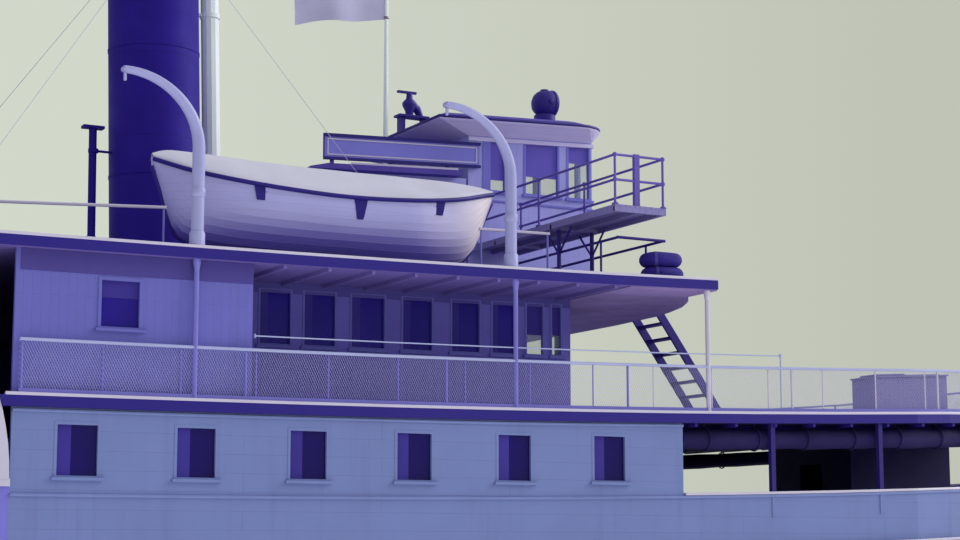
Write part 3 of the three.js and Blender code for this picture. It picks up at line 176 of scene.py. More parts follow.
def finish(name, colour, rough, metal=0.0, tone=0.16, marks=0.0, boards=None, relief=0.2, weave=0.0,
           alpha=1.0, shine=0.25, under=None, joints=0.7, zone=None, bleach=None, edge=None):
    """A paint whose tone varies at random, with rain marks, the dark joints of its boards (plane, width,
    length, joint), a weave, a painted shade for faces that look down (under), a colour of its own for
    faces that look sideways (edge), a painted highlight of the bow lamp for faces that look forward,
    and a painted shade for the pillars of the open ends, above the bulwark's sheer (zone)."""
    made = bpy.data.materials.new(name)
    made.use_nodes = True
    tree = made.node_tree
    shader = tree.nodes["Principled BSDF"]
    for socket, value in (("Metallic", metal), ("Specular IOR Level", shine), ("Alpha", alpha)):
        shader.inputs[socket].default_value = value
    if alpha < 1:
        made.surface_render_method = "BLENDED"

    def join(sockets, values):
        for socket, value in zip(sockets, values):
            if hasattr(value, "links"):
                tree.links.new(value, socket)
            else:
                socket.default_value = value

    def maths(one, operation, other=0.0):
        node = add(tree, "Math", operation=operation)
        join(node.inputs[:2], (one, other))
        return node.outputs[0]

    def spread(value, low, high, **more):
        return add(tree, "MapRange", [(value, "Value")], From_Min=low, From_Max=high, **more).outputs[0]

    def noise(vector, **values):
        return add(tree, "TexNoise", [(vector, "Vector")], **values).outputs["Fac"]

    def blend(low, high, share, amount=1.0):
        mix = add(tree, "Mix", data_type="RGBA")
        colours = [value if hasattr(value, "links") else (*value, 1) for value in (low, high)]
        join((mix.inputs[0], *mix.inputs[6:8]), (maths(share, "MULTIPLY", amount), *colours))
        return mix.outputs[2]

    def axes(vector):
        return add(tree, "SeparateXYZ", [(vector, "Vector")]).outputs

    place = add(tree, "TexCoord").outputs["Object"]
    normal = add(tree, "NewGeometry").outputs["Normal"]
    base = linear(colour)
    cloud = noise(place, Scale=1.7, Detail=7.0, Roughness=0.62)
    look = blend(base, [c * (1 - tone) for c in base], spread(cloud, 0.36, 0.66))
    height = noise(place, Scale=46.0, Detail=4.0, Roughness=0.6)
    if boards:
        ways, pitch, length, joint = boards
        x, y, z = axes(place)
        flat = (z, maths(x, "ADD", y)) if ways == "zw" else (x, y if ways == "xy" else z)
        brick = add(tree, "TexBrick", [(add(tree, "CombineXYZ", zip(flat, "XY")).outputs[0], "Vector")],
                    Scale=1.0, Mortar_Size=joint, Brick_Width=length, Row_Height=pitch, Mortar_Smooth=0.4)
        join((brick.inputs["Color1"], brick.inputs["Color2"]), ((1, 1, 1, 1), (0.72, 0.72, 0.72, 1)))
        turned = add(tree, "Invert", [(brick.outputs["Color"], "Color")]).outputs[0]
        look = blend(look, [c * 0.85 for c in base], turned, 0.5)
        look = blend(look, [c * 0.4 for c in base], brick.outputs["Fac"], joints)
        height = maths(maths(brick.outputs["Fac"], "MULTIPLY", -1.6), "ADD", height)
    if weave:
        for way in "XZ":
            threads = add(tree, "TexWave", [(place, "Vector")], Scale=weave, bands_direction=way,
                          Distortion=0.4)
            height = maths(threads.outputs["Fac"], "ADD", height)
    if marks:
        stretched = add(tree, "Mapping", [(place, "Vector")], Scale=(7.0, 7.0, 0.45)).outputs[0]
        runs = spread(noise(stretched, Scale=1.6, Detail=5.0), 0.55, 0.78)
        look = blend(look, linear(RAIN), runs, marks)
    # Faces that look down are blended towards the under colour: a painted shade on the undersides.
    if under:
        look = blend(look, linear(under), spread(axes(normal)["Z"], -0.3, -0.7))
    if edge:
        look = blend(look, linear(edge), spread(maths(axes(normal)["Z"], "ABSOLUTE"), 0.5, 0.3))
    # The pillars of the open ends, above the bulwark's sheer, turn dark: a painted shade of the deck over
    # them.
    if zone:
        middle, reach, level, rise, span, zone_colour = zone
        x, _, z = axes(place)
        far = maths(maths(maths(x, "SUBTRACT", middle), "ABSOLUTE"), "GREATER_THAN", reach)
        lift = maths(maths(maths(maths(x, "ABSOLUTE"), "DIVIDE", span), "POWER", 2.5), "MULTIPLY", rise)
        above = maths(maths(z, "SUBTRACT", lift), "GREATER_THAN", level)
        look = blend(look, linear(zone_colour), maths(far, "MULTIPLY", above))
    # Faces that look forward are blended to a pale colour: a painted highlight of the lamp from the bow.
    if bleach:
        look = blend(look, linear(bleach), spread(axes(normal)["X"], 0.1, 0.6))
    bump = add(tree, "Bump", [(height, "Height")], Strength=relief, Distance=0.004)
    join([shader.inputs[socket] for socket in ("Base Color", "Roughness", "Normal")],
         (look, spread(cloud, 0.3, 0.7, To_Min=max(0.02, rough - 0.09), To_Max=min(1.0, rough + 0.1)),
          bump.outputs[0]))
    return made


print("rain marks are", [round(c, 3) for c in linear(RAIN)], "in the shader's own numbers")

# %% [markdown]
# Cabins are clad in narrow upright boards, the long sides in wide boards laid along the ship, decks in
# planks and the funnel in plates. Each is a plane, the boards' width and length, and the width of the
# joint. Settings that several finishes share are named once.

# %% Boards and common settings
UPRIGHT, LONG = ("zw", 0.075, 4.0, 0.0022), ("xz", 0.16, 2.6, 0.0022)
PLANKS, PLATES = ("xy", 0.06, 3.2, 0.0025), ("xz", 0.9, 2.4, 0.003)
DARK_BLUE, LAVENDER = (37, 25, 119), (116, 130, 180)
HOUSE, RAILS, DARK, DECK = "house_paint", "rail_paint", "dark_paint", "deck_paint"
CANVAS, ROOF, GLASS = "dark_canvas", "roof_paint", "window_glass"
side_boards = dict(marks=0.1, boards=LONG, tone=0.08, joints=0.3)
wall_boards = dict(marks=0.12, boards=UPRIGHT, tone=0.1, joints=0.25)
deck_boards = dict(marks=0.1, boards=PLANKS, edge=DARK_BLUE)
print("deck planks are", PLANKS[1], "m wide")

# %% [markdown]
# White paint shows as pale lavender here, and dark paint as indigo. A table keeps all finishes side by
# side, which makes them easy to tune against each other. Each row gives a finish's name, its slot, the
# solids that only need that finish, its colour, its roughness and its own settings.

# %% Table of finishes
PAINTS = {
    "white": ("white_side_paint", HOUSE, "main_front_wall main_back_wall", LAVENDER, 0.5, side_boards),
    # The side's dark pillars at the open ends are a painted shade under the promenade deck.
    "side": ("white_side_paint_shaded_pillars", HOUSE, "main_side_", LAVENDER, 0.5,
             dict(side_boards, zone=(-3.2, 10.32, 2.382, 0.55, 16.765, (42, 30, 106)))),
    "house": ("white_house_paint", HOUSE, "paddle_box_", (124, 121, 208), 0.55, wall_boards),
    "wing": ("wing_cabin_paint", HOUSE, "wing_cabin_", (106, 105, 184), 0.55, wall_boards),
    # The saloon's copy of the white house paint is darker: a painted shade of the top deck over it.
    "saloon": ("saloon_paint", HOUSE, "saloon_", (110, 102, 188), 0.55, wall_boards),
    "pilot": ("pilot_house_paint", HOUSE, "texas_cabin pilot_house", (170, 169, 234), 0.55,
              dict(wall_boards, marks=0.1)),
    # Frieze paint is a darker copy of the house paint: on the frieze boards, a painted shade under the
    # decks.
    "frieze": ("frieze_paint", HOUSE, "", (76, 67, 142), 0.55, dict(tone=0.1)),
    # Ceiling and soffit boards are lighter than the deck and house paints: a painted light on undersides.
    "ceiling": ("ceiling_boards", HOUSE, "", (150, 128, 184), 0.6,
                dict(boards=("xy", 0.42, 9.0, 0.004), tone=0.3, joints=0.4)),
    "soffit": ("soffit_boards", HOUSE, "", (214, 205, 240), 0.6,
               dict(boards=("xy", 0.1, 3.0, 0.002), tone=0.08, joints=0.3)),
    "beam": ("beam_paint", HOUSE, "", (112, 97, 166), 0.6, dict(tone=0.12)),
    "trim": ("pale_trim_paint", RAILS, "", (200, 194, 210), 0.42, dict(tone=0.08)),
    "rail": ("rail_paint", RAILS, "promenade_rail_ hurricane_rail", (172, 178, 214), 0.42, dict(tone=0.1)),
    # The post paint is a darker copy of the rail paint: a painted shade on the upright posts.
    "post": ("post_paint", RAILS, "", (122, 118, 196), 0.5, dict(tone=0.12)),
    "pale_pipe": ("pale_pipe_paint", RAILS, "whistle_pipe flagstaff", (238, 247, 240), 0.5,
                  dict(tone=0.06, marks=0.05)),
    "edge": ("dark_edge_paint", DARK, "", DARK_BLUE, 0.5, dict(tone=0.2, marks=0.15)),
    "dark": ("dark_paint", DARK, "gallows_frame ladder", (52, 38, 132), 0.5, dict(tone=0.18)),
    # Bridge paint is a lighter copy of the legs' dark paint: a painted light on the bridge rails.
    "bridge": ("bridge_paint", DARK, "bridge_wing_", (100, 85, 172), 0.5, dict(tone=0.18)),
    # Shade paint serves the blinds and shades, and the lighter panels that paint the light on the main
    # windows' jambs.
    "shade": ("window_shade", DARK, "", (56, 44, 138), 0.6, dict(tone=0.15)),
    "door": ("door_varnish", DARK, "", (110, 92, 160), 0.4, dict(boards=("zw", 0.06, 3.0, 0.002), tone=0.2)),
    "fore": ("deckhouse_paint", DARK, "fore_deckhouse", (38, 27, 104), 0.55,
             dict(boards=UPRIGHT, tone=0.15, joints=0.3)),
    "deck": ("deck_paint", DECK, "main_deck", (120, 112, 158), 0.62, dict(deck_boards, tone=0.22)),
    # Under colours are painted shade on faces that look down; the promenade deck's is near black.
    "top_deck": ("top_deck_paint", DECK, "hurricane_deck", (124, 116, 158), 0.62,
                 dict(deck_boards, tone=0.15, under=(104, 90, 158))),
    "low_deck": ("promenade_deck_paint", DECK, "promenade_deck", (124, 116, 158), 0.62,
                 dict(deck_boards, tone=0.15, under=(22, 12, 62))),
    "hood": ("companion_paint", DECK, "", (136, 131, 182), 0.6, dict(boards=UPRIGHT, tone=0.12)),
    "board": ("name_board_paint", ROOF, "", (128, 126, 212), 0.5, dict(tone=0.12, marks=0.12)),
    "roof": ("roof_canvas", ROOF, "texas_roof pilot_roof", (84, 68, 166), 0.66,
             dict(tone=0.2, weave=60.0, marks=0.15)),
    # Rolled canvas is near black: a painted shade under the promenade deck's edge.
    "curtain": ("rolled_canvas", CANVAS, "", (30, 19, 76), 0.8, dict(tone=0.2, weave=80.0, relief=0.4)),
    "blind": ("pilot_house_blinds", CANVAS, "", (104, 92, 190), 0.7, dict(tone=0.08, weave=120.0)),
    "float": ("tarred_canvas", CANVAS, "life_floats", (52, 38, 140), 0.75,
              dict(tone=0.25, weave=70.0, relief=0.5)),
    "funnel": ("funnel_paint", "funnel_paint", "funnel", (44, 27, 142), 0.62,
               dict(boards=PLATES, tone=0.2, marks=0.2, shine=0.12)),
    "iron": ("oily_iron", "iron", "walking_beam connecting_rod piston_link engine_and_boiler paddle_shaft "
             "searchlight", (74, 66, 128), 0.34, dict(metal=0.35, tone=0.3, marks=0.2, shine=0.5)),
    "wheel": ("red_lead_paint", "wheel_paint", "paddle_wheel_ rudder", (124, 54, 96), 0.6,
              dict(tone=0.35, marks=0.4, relief=0.35)),
    "hull": ("hull_paint", "hull_paint", "hull", (132, 140, 204), 0.5,
             dict(boards=("xz", 0.11, 3.6, 0.0018), tone=0.12, marks=0.22, joints=0.4)),
    # The boat's under colour is a painted shade on its lower sides; its pale forward colour is a painted
    # highlight of the bow lamp.
    "boat": ("boat_paint", "boat_paint", "lifeboat_", (178, 176, 224), 0.42,
             dict(boards=("xz", 0.075, 9.0, 0.0015), tone=0.08, joints=0.35, under=(118, 108, 190),
                  bleach=(232, 222, 222))),
    "cover": ("boat_canvas", "boat_cover", "", (206, 206, 216), 0.8,
              dict(tone=0.08, weave=90.0, relief=0.3)),
    "davit": ("davit_paint", "davit_paint", "davit_", (160, 161, 205), 0.45, dict(tone=0.08, marks=0.08)),
    "bunting": ("bunting", "flag_cloth", "flag", (200, 198, 224), 0.85,
                dict(tone=0.12, weave=110.0, relief=0.3)),
    "glass": ("dark_glass", GLASS, "", (24, 12, 92), 0.25, dict(tone=0.3, relief=0.02, shine=0.2)),
    # Saloon panes are a brighter blue than the other glass: a painted light against the deck's shade.
    "tinted": ("saloon_glass", GLASS, "", (37, 21, 140), 0.3,
               dict(tone=0.3, relief=0.02, shine=0.2)),
    "clear": ("clear_glass", GLASS, "", (190, 205, 210), 0.15,
              dict(tone=0.05, relief=0.01, alpha=0.14, shine=0.2)),
    "wire": ("netting_wire", "netting", "", (194, 192, 230), 0.6, dict(tone=0.1)),
    "brass": ("dull_brass", "brass", "", (150, 132, 150), 0.35, dict(metal=0.8, tone=0.2, shine=0.5)),
}
FINISHES = {key: finish(row[0], *row[3:5], **row[5]) for key, row in PAINTS.items()}
print(len(FINISHES), "finishes")

# %% [markdown]
# The solids that are right as they are only need paint. They could be painted one by one, but the table
# already says which is which: the longest beginning that fits a solid's name wins.

# %% Finish of the solids
starts = [(len(start), start, key) for key, row in PAINTS.items() for start in row[2].split()]
for node_name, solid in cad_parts.items():
    key = max(start for start in starts if node_name.startswith(start[1]))[2]
    solid.material_slots[0].material = FINISHES[key]
print(len(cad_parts), "solids painted")

# %% [markdown]
# A ship is joinery, rails and ironwork: boxes, bars and turned work. Blender has a primitive for each,
# but hundreds of objects are slow. A form gathers the corners and faces of many such parts first, and
# becomes one light piece.

# %% Forms
def angles(count, closed=False):
    """Even steps round a circle; closed repeats the first at the end."""
    return [2 * pi * k / count for k in range(count + closed)]


class Form:
    """Corners and faces of one piece, in full-size metres."""

    def __init__(self):
        self.corners, self.faces = [], []

    def add(self, corners, faces):
        start = len(self.corners)
        self.corners += [tuple(c) for c in corners]
        self.faces += [tuple(i + start for i in face) for face in faces]

    def loft(self, rings, ends=True):
        """A skin over closed rows of corners, capped at both ends."""
        size, last = len(rings[0]), len(rings) - 1
        faces = [(r * size + i, r * size + (i + 1) % size, (r + 1) * size + (i + 1) % size,
                  (r + 1) * size + i) for r in range(last) for i in range(size)]
        if ends:
            faces += [tuple(range(size))[::-1], tuple(last * size + i for i in range(size))]
        self.add([p for ring in rings for p in ring], faces)

    def box(self, x0, x1, y0, y1, z0, z1, at=lambda a, b, c: (a, b, c)):
        """A block between two corners, set by a square."""
        self.loft([[at(x, y0, z0), at(x, y1, z0), at(x, y1, z1), at(x, y0, z1)] for x in (x0, x1)])

    def tube(self, path, radius, sides=8):
        """A round bar along a path; radius may be a list."""
        points = [Vector(p) for p in path]
        last = len(points) - 1
        radii = radius if isinstance(radius, (list, tuple)) else [radius] * len(points)
        along = [(points[min(i + 1, last)] - points[max(i - 1, 0)]).normalized() for i in range(last + 1)]
        side = along[0].orthogonal().normalized()
        if abs(along[0].y) < 0.9:
            side = Vector((0, 1, 0)).cross(along[0]).normalized()
        rings = []
        for point, way, r in zip(points, along, radii):
            side = (side - way * side.dot(way)).normalized()
            other = way.cross(side)
            rings.append([point + side * (r * cos(t)) + other * (r * sin(t)) for t in angles(sides)])
        self.loft(rings)

    def turned(self, profile, centre=(0, 0, 0), axis="z", sides=24):
        """A turned form: rows of (radius, place along the axis)."""
        order = {"z": (0, 1, 2), "y": (0, 2, 1), "x": (2, 0, 1)}[axis]
        self.loft([[Vector(centre) + Vector([(r * cos(t), r * sin(t), place)[i] for i in order])
                    for t in angles(sides)] for r, place in profile])


def forms(count):
    """Several empty forms at once."""
    return [Form() for _ in range(count)]


print("the corners of a bolt head are", round(angles(6)[1], 3), "radians apart")

# %% [markdown]
# A piece on the real ship is one fitting that a yard would make and mount as a whole. Its form is
# scaled to the model, its normals are turned outwards, it gets its paint, and it is told which moving
# body it rides on. One function does this for all, so no step is forgotten.

# %% Building a piece
made_pieces = []


def build(name, form, key, body="ship", smooth=None, replaces=()):
    """A piece from a form: scaled to the model, painted, and riding on its body."""
    mesh = bpy.data.meshes.new(name)
    mesh.from_pydata([[c * HALF for c in corner] for corner in form.corners], [], form.faces)
    mesh.validate()
    piece = bpy.data.objects.new(name, mesh)
    scene.collection.objects.link(piece)
    work = bmesh.new()
    work.from_mesh(mesh)
    bmesh.ops.recalc_face_normals(work, faces=work.faces)
    work.to_mesh(mesh)
    work.free()
    if smooth:
        mesh.shade_smooth()
        mesh.set_sharp_from_angle(angle=radians(smooth))
    mesh.materials.append(FINISHES[key])
    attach(piece, body)
    if replaces:
        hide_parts(*replaces)
    made_pieces.append(name)
    print(name, len(mesh.polygons), "faces")
    return piece

# %% [markdown]
# The decks rise towards both ends, and their edges close in. Smooth curves could be used, but the
# solids follow these lines in straight lengths from frame to frame, so the trim uses the same frames
# and stays on them.

# %% Lines of the ship
END, SIDE, STEP = 33.53, 8.75, 2
MAIN, MOULDING, PROMENADE, HURRICANE, PLANK = 3.70, 4.74, 6.31, 8.93, 0.18
UNDER_TOP, UNDER_PROMENADE = HURRICANE - PLANK, PROMENADE - PLANK
HOUSE_BACK, HOUSE_FRONT, WELL_AFT, WELL_FORE = -27, 14.21, -7.61, 1.21
PROMENADE_BACK, PROMENADE_FRONT, BOW_LINE, STERN_LINE = -32.9, 28.6, 33.2, -33.2
SHEER_FORE, SHEER_AFT, TAPER_FORE, TAPER_AFT = 1.1, 0.5, 19.8, -16
EXTRA_FRAMES = (-33.4, -33, -32.5, -31.2, -29.2, 21, 23, 25, 27, 29, 31, 32.6, 33.2)
SIDES = (("starboard", -1), ("port", 1))


def sheer(x):
    """How much a deck has risen at a place along the ship."""
    def curve(place):
        return (SHEER_FORE if place > 0 else SHEER_AFT) * (abs(place) / END) ** 2.5
    frame_x = x // STEP * STEP
    low, high = curve(frame_x), curve(frame_x + STEP)
    return low + (high - low) * (x - frame_x) / STEP


def guard(x):
    """Half the breadth over the guards."""
    if x > TAPER_FORE:
        return max(0.25, SIDE * (1 - min(1, (x - TAPER_FORE) / (END - TAPER_FORE)) ** 1.7))
    if x < TAPER_AFT:
        return max(0.9, SIDE * (1 - min(1, (TAPER_AFT - x) / (END + TAPER_AFT)) ** 3) ** 0.55)
    return SIDE


def wall(x):
    """Half the breadth to the face of the main deck's sides."""
    return guard(x) - 0.08


def frames(x0, x1):
    """Places of the frames between two ends, and the ends."""
    inner = [STEP * i for i in range(-17, 18)] + list(EXTRA_FRAMES)
    return sorted({x0, x1} | {x for x in inner if x0 < x < x1})


def spaced(x0, x1, pitch):
    """Even places from end to end, about a pitch apart."""
    count = max(1, round((x1 - x0) / pitch))
    return [x0 + (x1 - x0) * i / count for i in range(count + 1)]


def edge_line(x0, x1, breadth=guard):
    """Breadth as the solids have it: straight between frames."""
    places = frames(x0, x1)
    return lambda x: float(np.interp(x, places, [breadth(p) for p in places]))


print("sheer at the bow", round(sheer(33), 3), "breadth there", round(guard(29), 2))

# %% [markdown]
# Nosings, mouldings and rails all run along an edge with one section. A curve with a bevel could do it,
# but a section placed at every frame keeps exact corners, and can be mitred round the bow.

# %% Strips along the ship
HORN, HURRICANE_BACK = 15.05, -27.6
HURRICANE_FRONT = ((15.06, 7.68), (15.25, 7.4), (15.6, 6.9), (16, 6.1), (16.3, 5.2), (16.5, 4.4),
                   (16.64, 2.4), (16.66, 1.2))


def run(form, side, places, breadth, section, level=0):
    """A strip along the ship's side; section is a closed row of (out, up) from the side's line."""
    form.loft([[(x, side * (breadth(x) + out), up + level + sheer(x)) for out, up in section]
               for x in places])


def around(form, path, section, level):
    """A strip along a line in plan, mitred at its corners; the line's left is the outside."""
    rings = []
    for i, (x, y) in enumerate(path):
        before, after = path[max(i - 1, 0)], path[min(i + 1, len(path) - 1)]
        ways = [Vector((b[0] - a[0], b[1] - a[1])).normalized()
                for a, b in ((before, (x, y)), ((x, y), after)) if a != b]
        outs = [Vector((-w.y, w.x)) for w in ways]
        out = sum(outs, Vector((0, 0))).normalized()
        out /= max(0.4, out.dot(outs[0]))
        rings.append([(x + out.x * o, y + out.y * o, level + sheer(x) + up) for o, up in section])
    form.loft(rings)


print("the fore end of the top deck has", len(HURRICANE_FRONT), "corners a side")

# %% [markdown]
# A window is a pane set back in the wall, a thin frame that laps the opening, and a sill that throws
# off the rain. A carpenter's square laid on the wall says where along it, out of it and up means, so
# the same window fits a straight wall and a curved one.

# %% Windows
def wall_place(x, side, breadth):
    """The square on a wall; its breadth is a number where it is flat, else a function."""
    if not callable(breadth):
        return lambda a, o, z: (x + a, side * (breadth + o), z)
    lean = (breadth(x + 0.1) - breadth(x - 0.1)) / 0.2
    length = hypot(1, lean)
    centre = Vector((x, side * breadth(x), 0))
    along, out = Vector((1, side * lean, 0)) / length, Vector((-lean, side, 0)) / length
    return lambda a, o, z: tuple(centre + along * a + out * o + Vector((0, 0, z)))


def window(frame_form, pane_form, at, width, low, high, trim=0.035, proud=0.015):
    """A frame, its sill and its pane, at a square on a wall."""
    half, depth, inner = width / 2, 0.06, width / 2 - 0.02
    for a0, a1, z0, z1 in ((-half - trim, -inner, low, high + trim), (inner, half + trim, low, high + trim),
                           (-inner, inner, high - 0.02, high + trim), (-inner, inner, low, low + 0.03)):
        frame_form.box(a0, a1, -depth, proud, z0, z1, at)
    frame_form.box(-half - trim - 0.04, half + trim + 0.06, -0.02, 0.055, low - 0.05, low, at)
    pane_form.box(-half + 0.01, half - 0.01, -depth, -0.052, low, high, at)


print("1 m along a flat wall and 2 m up is", wall_place(0, 1, 6.5)(1, 0, 2))

# %% [markdown]
# The main deck has a row of even windows, and the saloon has wider ones with half-drawn shades. A
# lighter panel over the left of each main deck pane is a painted light, for the lit inner jamb. They
# could be copied by an array, but their widths differ and the deck rises under them, so each is set at
# its own place. One form holds all frames of a wall, and another all its panes.

# %% Windows of the sides
MAIN_WINDOWS = [2.3 + 2.05 * i for i in range(6)] + spaced(-25.5, -9.1, 2.05)
MAIN_WIDTH, MAIN_SILL, MAIN_HEAD = 0.72, 5.0, 5.88
SALOON_SILL, SALOON_HEAD = PROMENADE + 1.26, PROMENADE + 2.32
SALOON_Y, SALOON_BACK, SALOON_FRONT, WING_Y, WING_WINDOWS = 6.5, -24.5, 13.0, 8.55, (3.0, -9.7)
SALOON_WINDOWS = ((6.62, 0.64), (7.52, 0.66), (8.52, 0.72), (9.57, 0.66), (10.62, 0.64), (11.47, 0.54),
                  (12.17, 0.4), (12.67, 0.24)) + tuple((x, 0.66) for x in spaced(-23.6, -12.8, 1.2))
for name, side in SIDES:
    frames_form, panes_form, blinds_and_lit_jambs, saloon_frames, saloon_panes, clear_form = forms(6)
    house_line = edge_line(HOUSE_BACK, HOUSE_FRONT, wall)
    for x in MAIN_WINDOWS:
        at, rise = wall_place(x, side, house_line), sheer(x)
        window(frames_form, panes_form, at, MAIN_WIDTH, MAIN_SILL + rise, MAIN_HEAD + rise, 0.03, 0.006)
        # A lighter panel over the left of the pane: a painted light, for the lit inner jamb.
        blinds_and_lit_jambs.box(-0.33, -0.1, -0.05, -0.04, MAIN_SILL + 0.03 + rise, MAIN_HEAD - 0.01 + rise, at)
    for x, width in SALOON_WINDOWS:
        at, sill, head = wall_place(x, side, SALOON_Y), SALOON_SILL + sheer(x), SALOON_HEAD + sheer(x)
        window(saloon_frames, clear_form if x > 12 else saloon_panes, at, width, sill, head, 0.02)
        if x < 12:
            blinds_and_lit_jambs.box(-width / 2, -width / 5, -0.05, -0.04, sill + 0.03, head - 0.01, at)
        elif side < 0:
            blinds_and_lit_jambs.box(-width / 2, width / 2, -0.048, -0.04, sill + 0.42, head - 0.01, at)
    for x in WING_WINDOWS:
        at, foot = wall_place(x, side, WING_Y), PROMENADE + sheer(x)
        window(saloon_frames, saloon_panes, at, 0.7, foot + 1.18, foot + 2.01)
        blinds_and_lit_jambs.box(-0.33, 0.33, -0.05, -0.04, foot + 1.7, foot + 2.0, at)
    for piece, form, key in (("main_window_frames", frames_form, "white"),
                             ("main_window_panes", panes_form, "glass"),
                             ("saloon_window_frames", saloon_frames, "wing"),
                             ("saloon_window_panes", saloon_panes, "tinted"),
                             ("saloon_corner_panes", clear_form, "clear"),
                             ("window_blinds_and_lit_jambs", blinds_and_lit_jambs, "shade")):
        build(f"{piece}_{name}", form, key)

# %% [markdown]
# The cross walls of the saloon have broad windows beside their doors. They are made with the same
# function, on a square that looks forward or aft.

# %% Windows of the end walls
frames_form, panes_form, clear_form = forms(3)
for x, out, ys, width, panes in ((SALOON_FRONT, 1, (-5.3, -3.3, 3.3, 5.3), 1.4, clear_form),
                                 (SALOON_BACK, -1, (-3.6, 3.6), 1.2, panes_form)):
    for y in ys:
        window(frames_form, panes, lambda a, o, z: (x + out * o, y + a, z), width, PROMENADE + 1.15,
               PROMENADE + 2.2, 0.04)
build("saloon_end_window_frames", frames_form, "trim")
build("saloon_front_panes", clear_form, "clear")
build("saloon_back_panes", panes_form, "glass")

# %% [markdown]
# A nosing is the strip that covers the sawn ends of the deck planks. It could be painted on, but its
# upper side catches the light, which draws the thin bright line along the ship. It is a low section
# lofted along the deck's edge, and it stops at the paddle boxes.

# %% Deck edges and mouldings
NOSING = [(-0.09, 0.001), (-0.09, 0.03), (-0.02, 0.056), (-0.004, 0.05), (0.0, 0.04), (0.0, 0.001)]
BEAD = [(0.001, -0.03), (0.03, -0.022), (0.04, 0.0), (0.03, 0.022), (0.001, 0.03)]
BOX_X, BOX_Z, BOX_R = -3.2, 4.96, 4.4


def box_gap(level):
    """Where a deck's edge stops before the paddle box, and where it goes on behind it."""
    reach = sqrt(BOX_R ** 2 - (level - 0.19 - BOX_Z) ** 2) + 0.03
    return BOX_X - reach, BOX_X + reach


gap = box_gap(PROMENADE)
for deck, level, spans in (
        ("promenade", PROMENADE, ((PROMENADE_BACK, gap[0]), (gap[1], PROMENADE_FRONT))),
        ("main", MAIN, ((-33.5, 33.5),))):
    nosing = Form()
    for _, side in SIDES:
        for xa, xb in spans:
            run(nosing, side, frames(xa, xb), edge_line(xa, xb), NOSING, level)
    for x, out in ((spans[0][0], -1), (spans[-1][1], 1)):
        nosing.loft([[(x + out * o, y, level + sheer(x) + up) for o, up in NOSING]
                     for y in (-guard(x), guard(x))])
    build(f"{deck}_deck_nosing", nosing, "trim", smooth=50)

# %% [markdown]
# The top deck's edge turns round the bow in short lengths, so its strip is mitred in plan. A half-round
# moulding parts the main deck's side in two, as it does on a panelled wall.

# %% Top deck's edge and the mouldings
gap = box_gap(HURRICANE)
bow_edge = [(x, guard(x)) for x in frames(gap[1], HORN)] + list(HURRICANE_FRONT)
stern_edge = [(HURRICANE_BACK, 0)] + [(x, guard(x)) for x in frames(HURRICANE_BACK, gap[0])]
nosing, mouldings = forms(2)
for line in (stern_edge, bow_edge + [(x, -y) for x, y in bow_edge[::-1]],
             [(x, -y) for x, y in stern_edge[::-1]]):
    around(nosing, line, NOSING, HURRICANE)
build("hurricane_deck_nosing", nosing, "trim", smooth=50)
for _, side in SIDES:
    for x0, x1, level in ((WELL_FORE, BOW_LINE, MOULDING - 0.03), (STERN_LINE, WELL_AFT, MOULDING - 0.03),
                          (WELL_FORE, HOUSE_FRONT, 6.08), (HOUSE_BACK, WELL_AFT, 6.08)):
        run(mouldings, side, frames(x0, x1), wall, BEAD, level)
build("side_mouldings", mouldings, "white", smooth=50)

# %% [markdown]
# Decks rest on beams from side to side, and their shadows stripe the ceiling. They could be a bump in
# the paint, but light comes from low down here, so they are real bars with narrowed feet. The fore end
# of the top deck is boarded over instead, in boards painted lighter than the deck: a painted light on
# the underside.

# %% Deck beams
def beams(form, places, under, line, inner=0.0):
    for x in places:
        top, outer = under + sheer(x) - 0.001, line(x) - 0.03
        for y0, y1 in ((-outer, -inner), (inner, outer)) if inner else ((-outer, outer),):
            form.loft([[(x + a, y, top - drop) for a, drop in ((-0.04, 0), (0.04, 0), (0.025, 0.07),
                                                               (-0.025, 0.07))] for y in (y0, y1)])


top_beams, boarding, low_beams = forms(3)
beams(top_beams, spaced(-27.3, -24.9, 0.8), UNDER_TOP, edge_line(HURRICANE_BACK, -24))
beams(top_beams, spaced(5.9, 12.7, 0.85), UNDER_TOP, guard, SALOON_Y + 0.02)
beams(top_beams, spaced(-24.0, -12.3, 0.9), UNDER_TOP, edge_line(HURRICANE_BACK, -12), SALOON_Y + 0.02)
build("hurricane_deck_beams", top_beams, "beam")
boarding.loft([[(x, way * (y - 0.03), UNDER_TOP + sheer(x) - drop)
                for way, drop in ((-1, 0.001), (1, 0.001), (1, 0.025), (-1, 0.025))]
               for x, y in [(x, SIDE) for x in (13.03, 14.0, 15.04)] + list(HURRICANE_FRONT[:-1])])
build("top_deck_ceiling_boards", boarding, "ceiling")
beams(low_beams, [14.5 + 0.95 * i for i in range(15)], UNDER_PROMENADE, edge_line(14, PROMENADE_FRONT))
beams(low_beams, spaced(-32.3, -27.4, 0.8), UNDER_PROMENADE, edge_line(PROMENADE_BACK, -27))
build("promenade_deck_beams", low_beams, "edge")

# %% [markdown]
# A promenade railing is a frame of bars with wire netting laced into it. A see-through image could
# stand for the netting, but it would shimmer close up, so these are real wires, three-sided and very
# light.

# %% Railings and netting
RAIL_HIGH, BAR_HIGH = 0.95, 0.9
RAIL = [(-0.07, -0.05), (0, -0.05), (0, -0.02), (-0.02, 0), (-0.05, 0), (-0.07, -0.02)]
FOOT_RAIL = [(-0.06, 0.05), (-0.01, 0.05), (-0.01, 0.12), (-0.06, 0.12)]
STANCHIONS = {"fore": (4.3, 10.54, 14.85), "aft": (-12, -16, -20, -24, -26.6)}


def rail_line(x):
    return guard(x) - 0.07


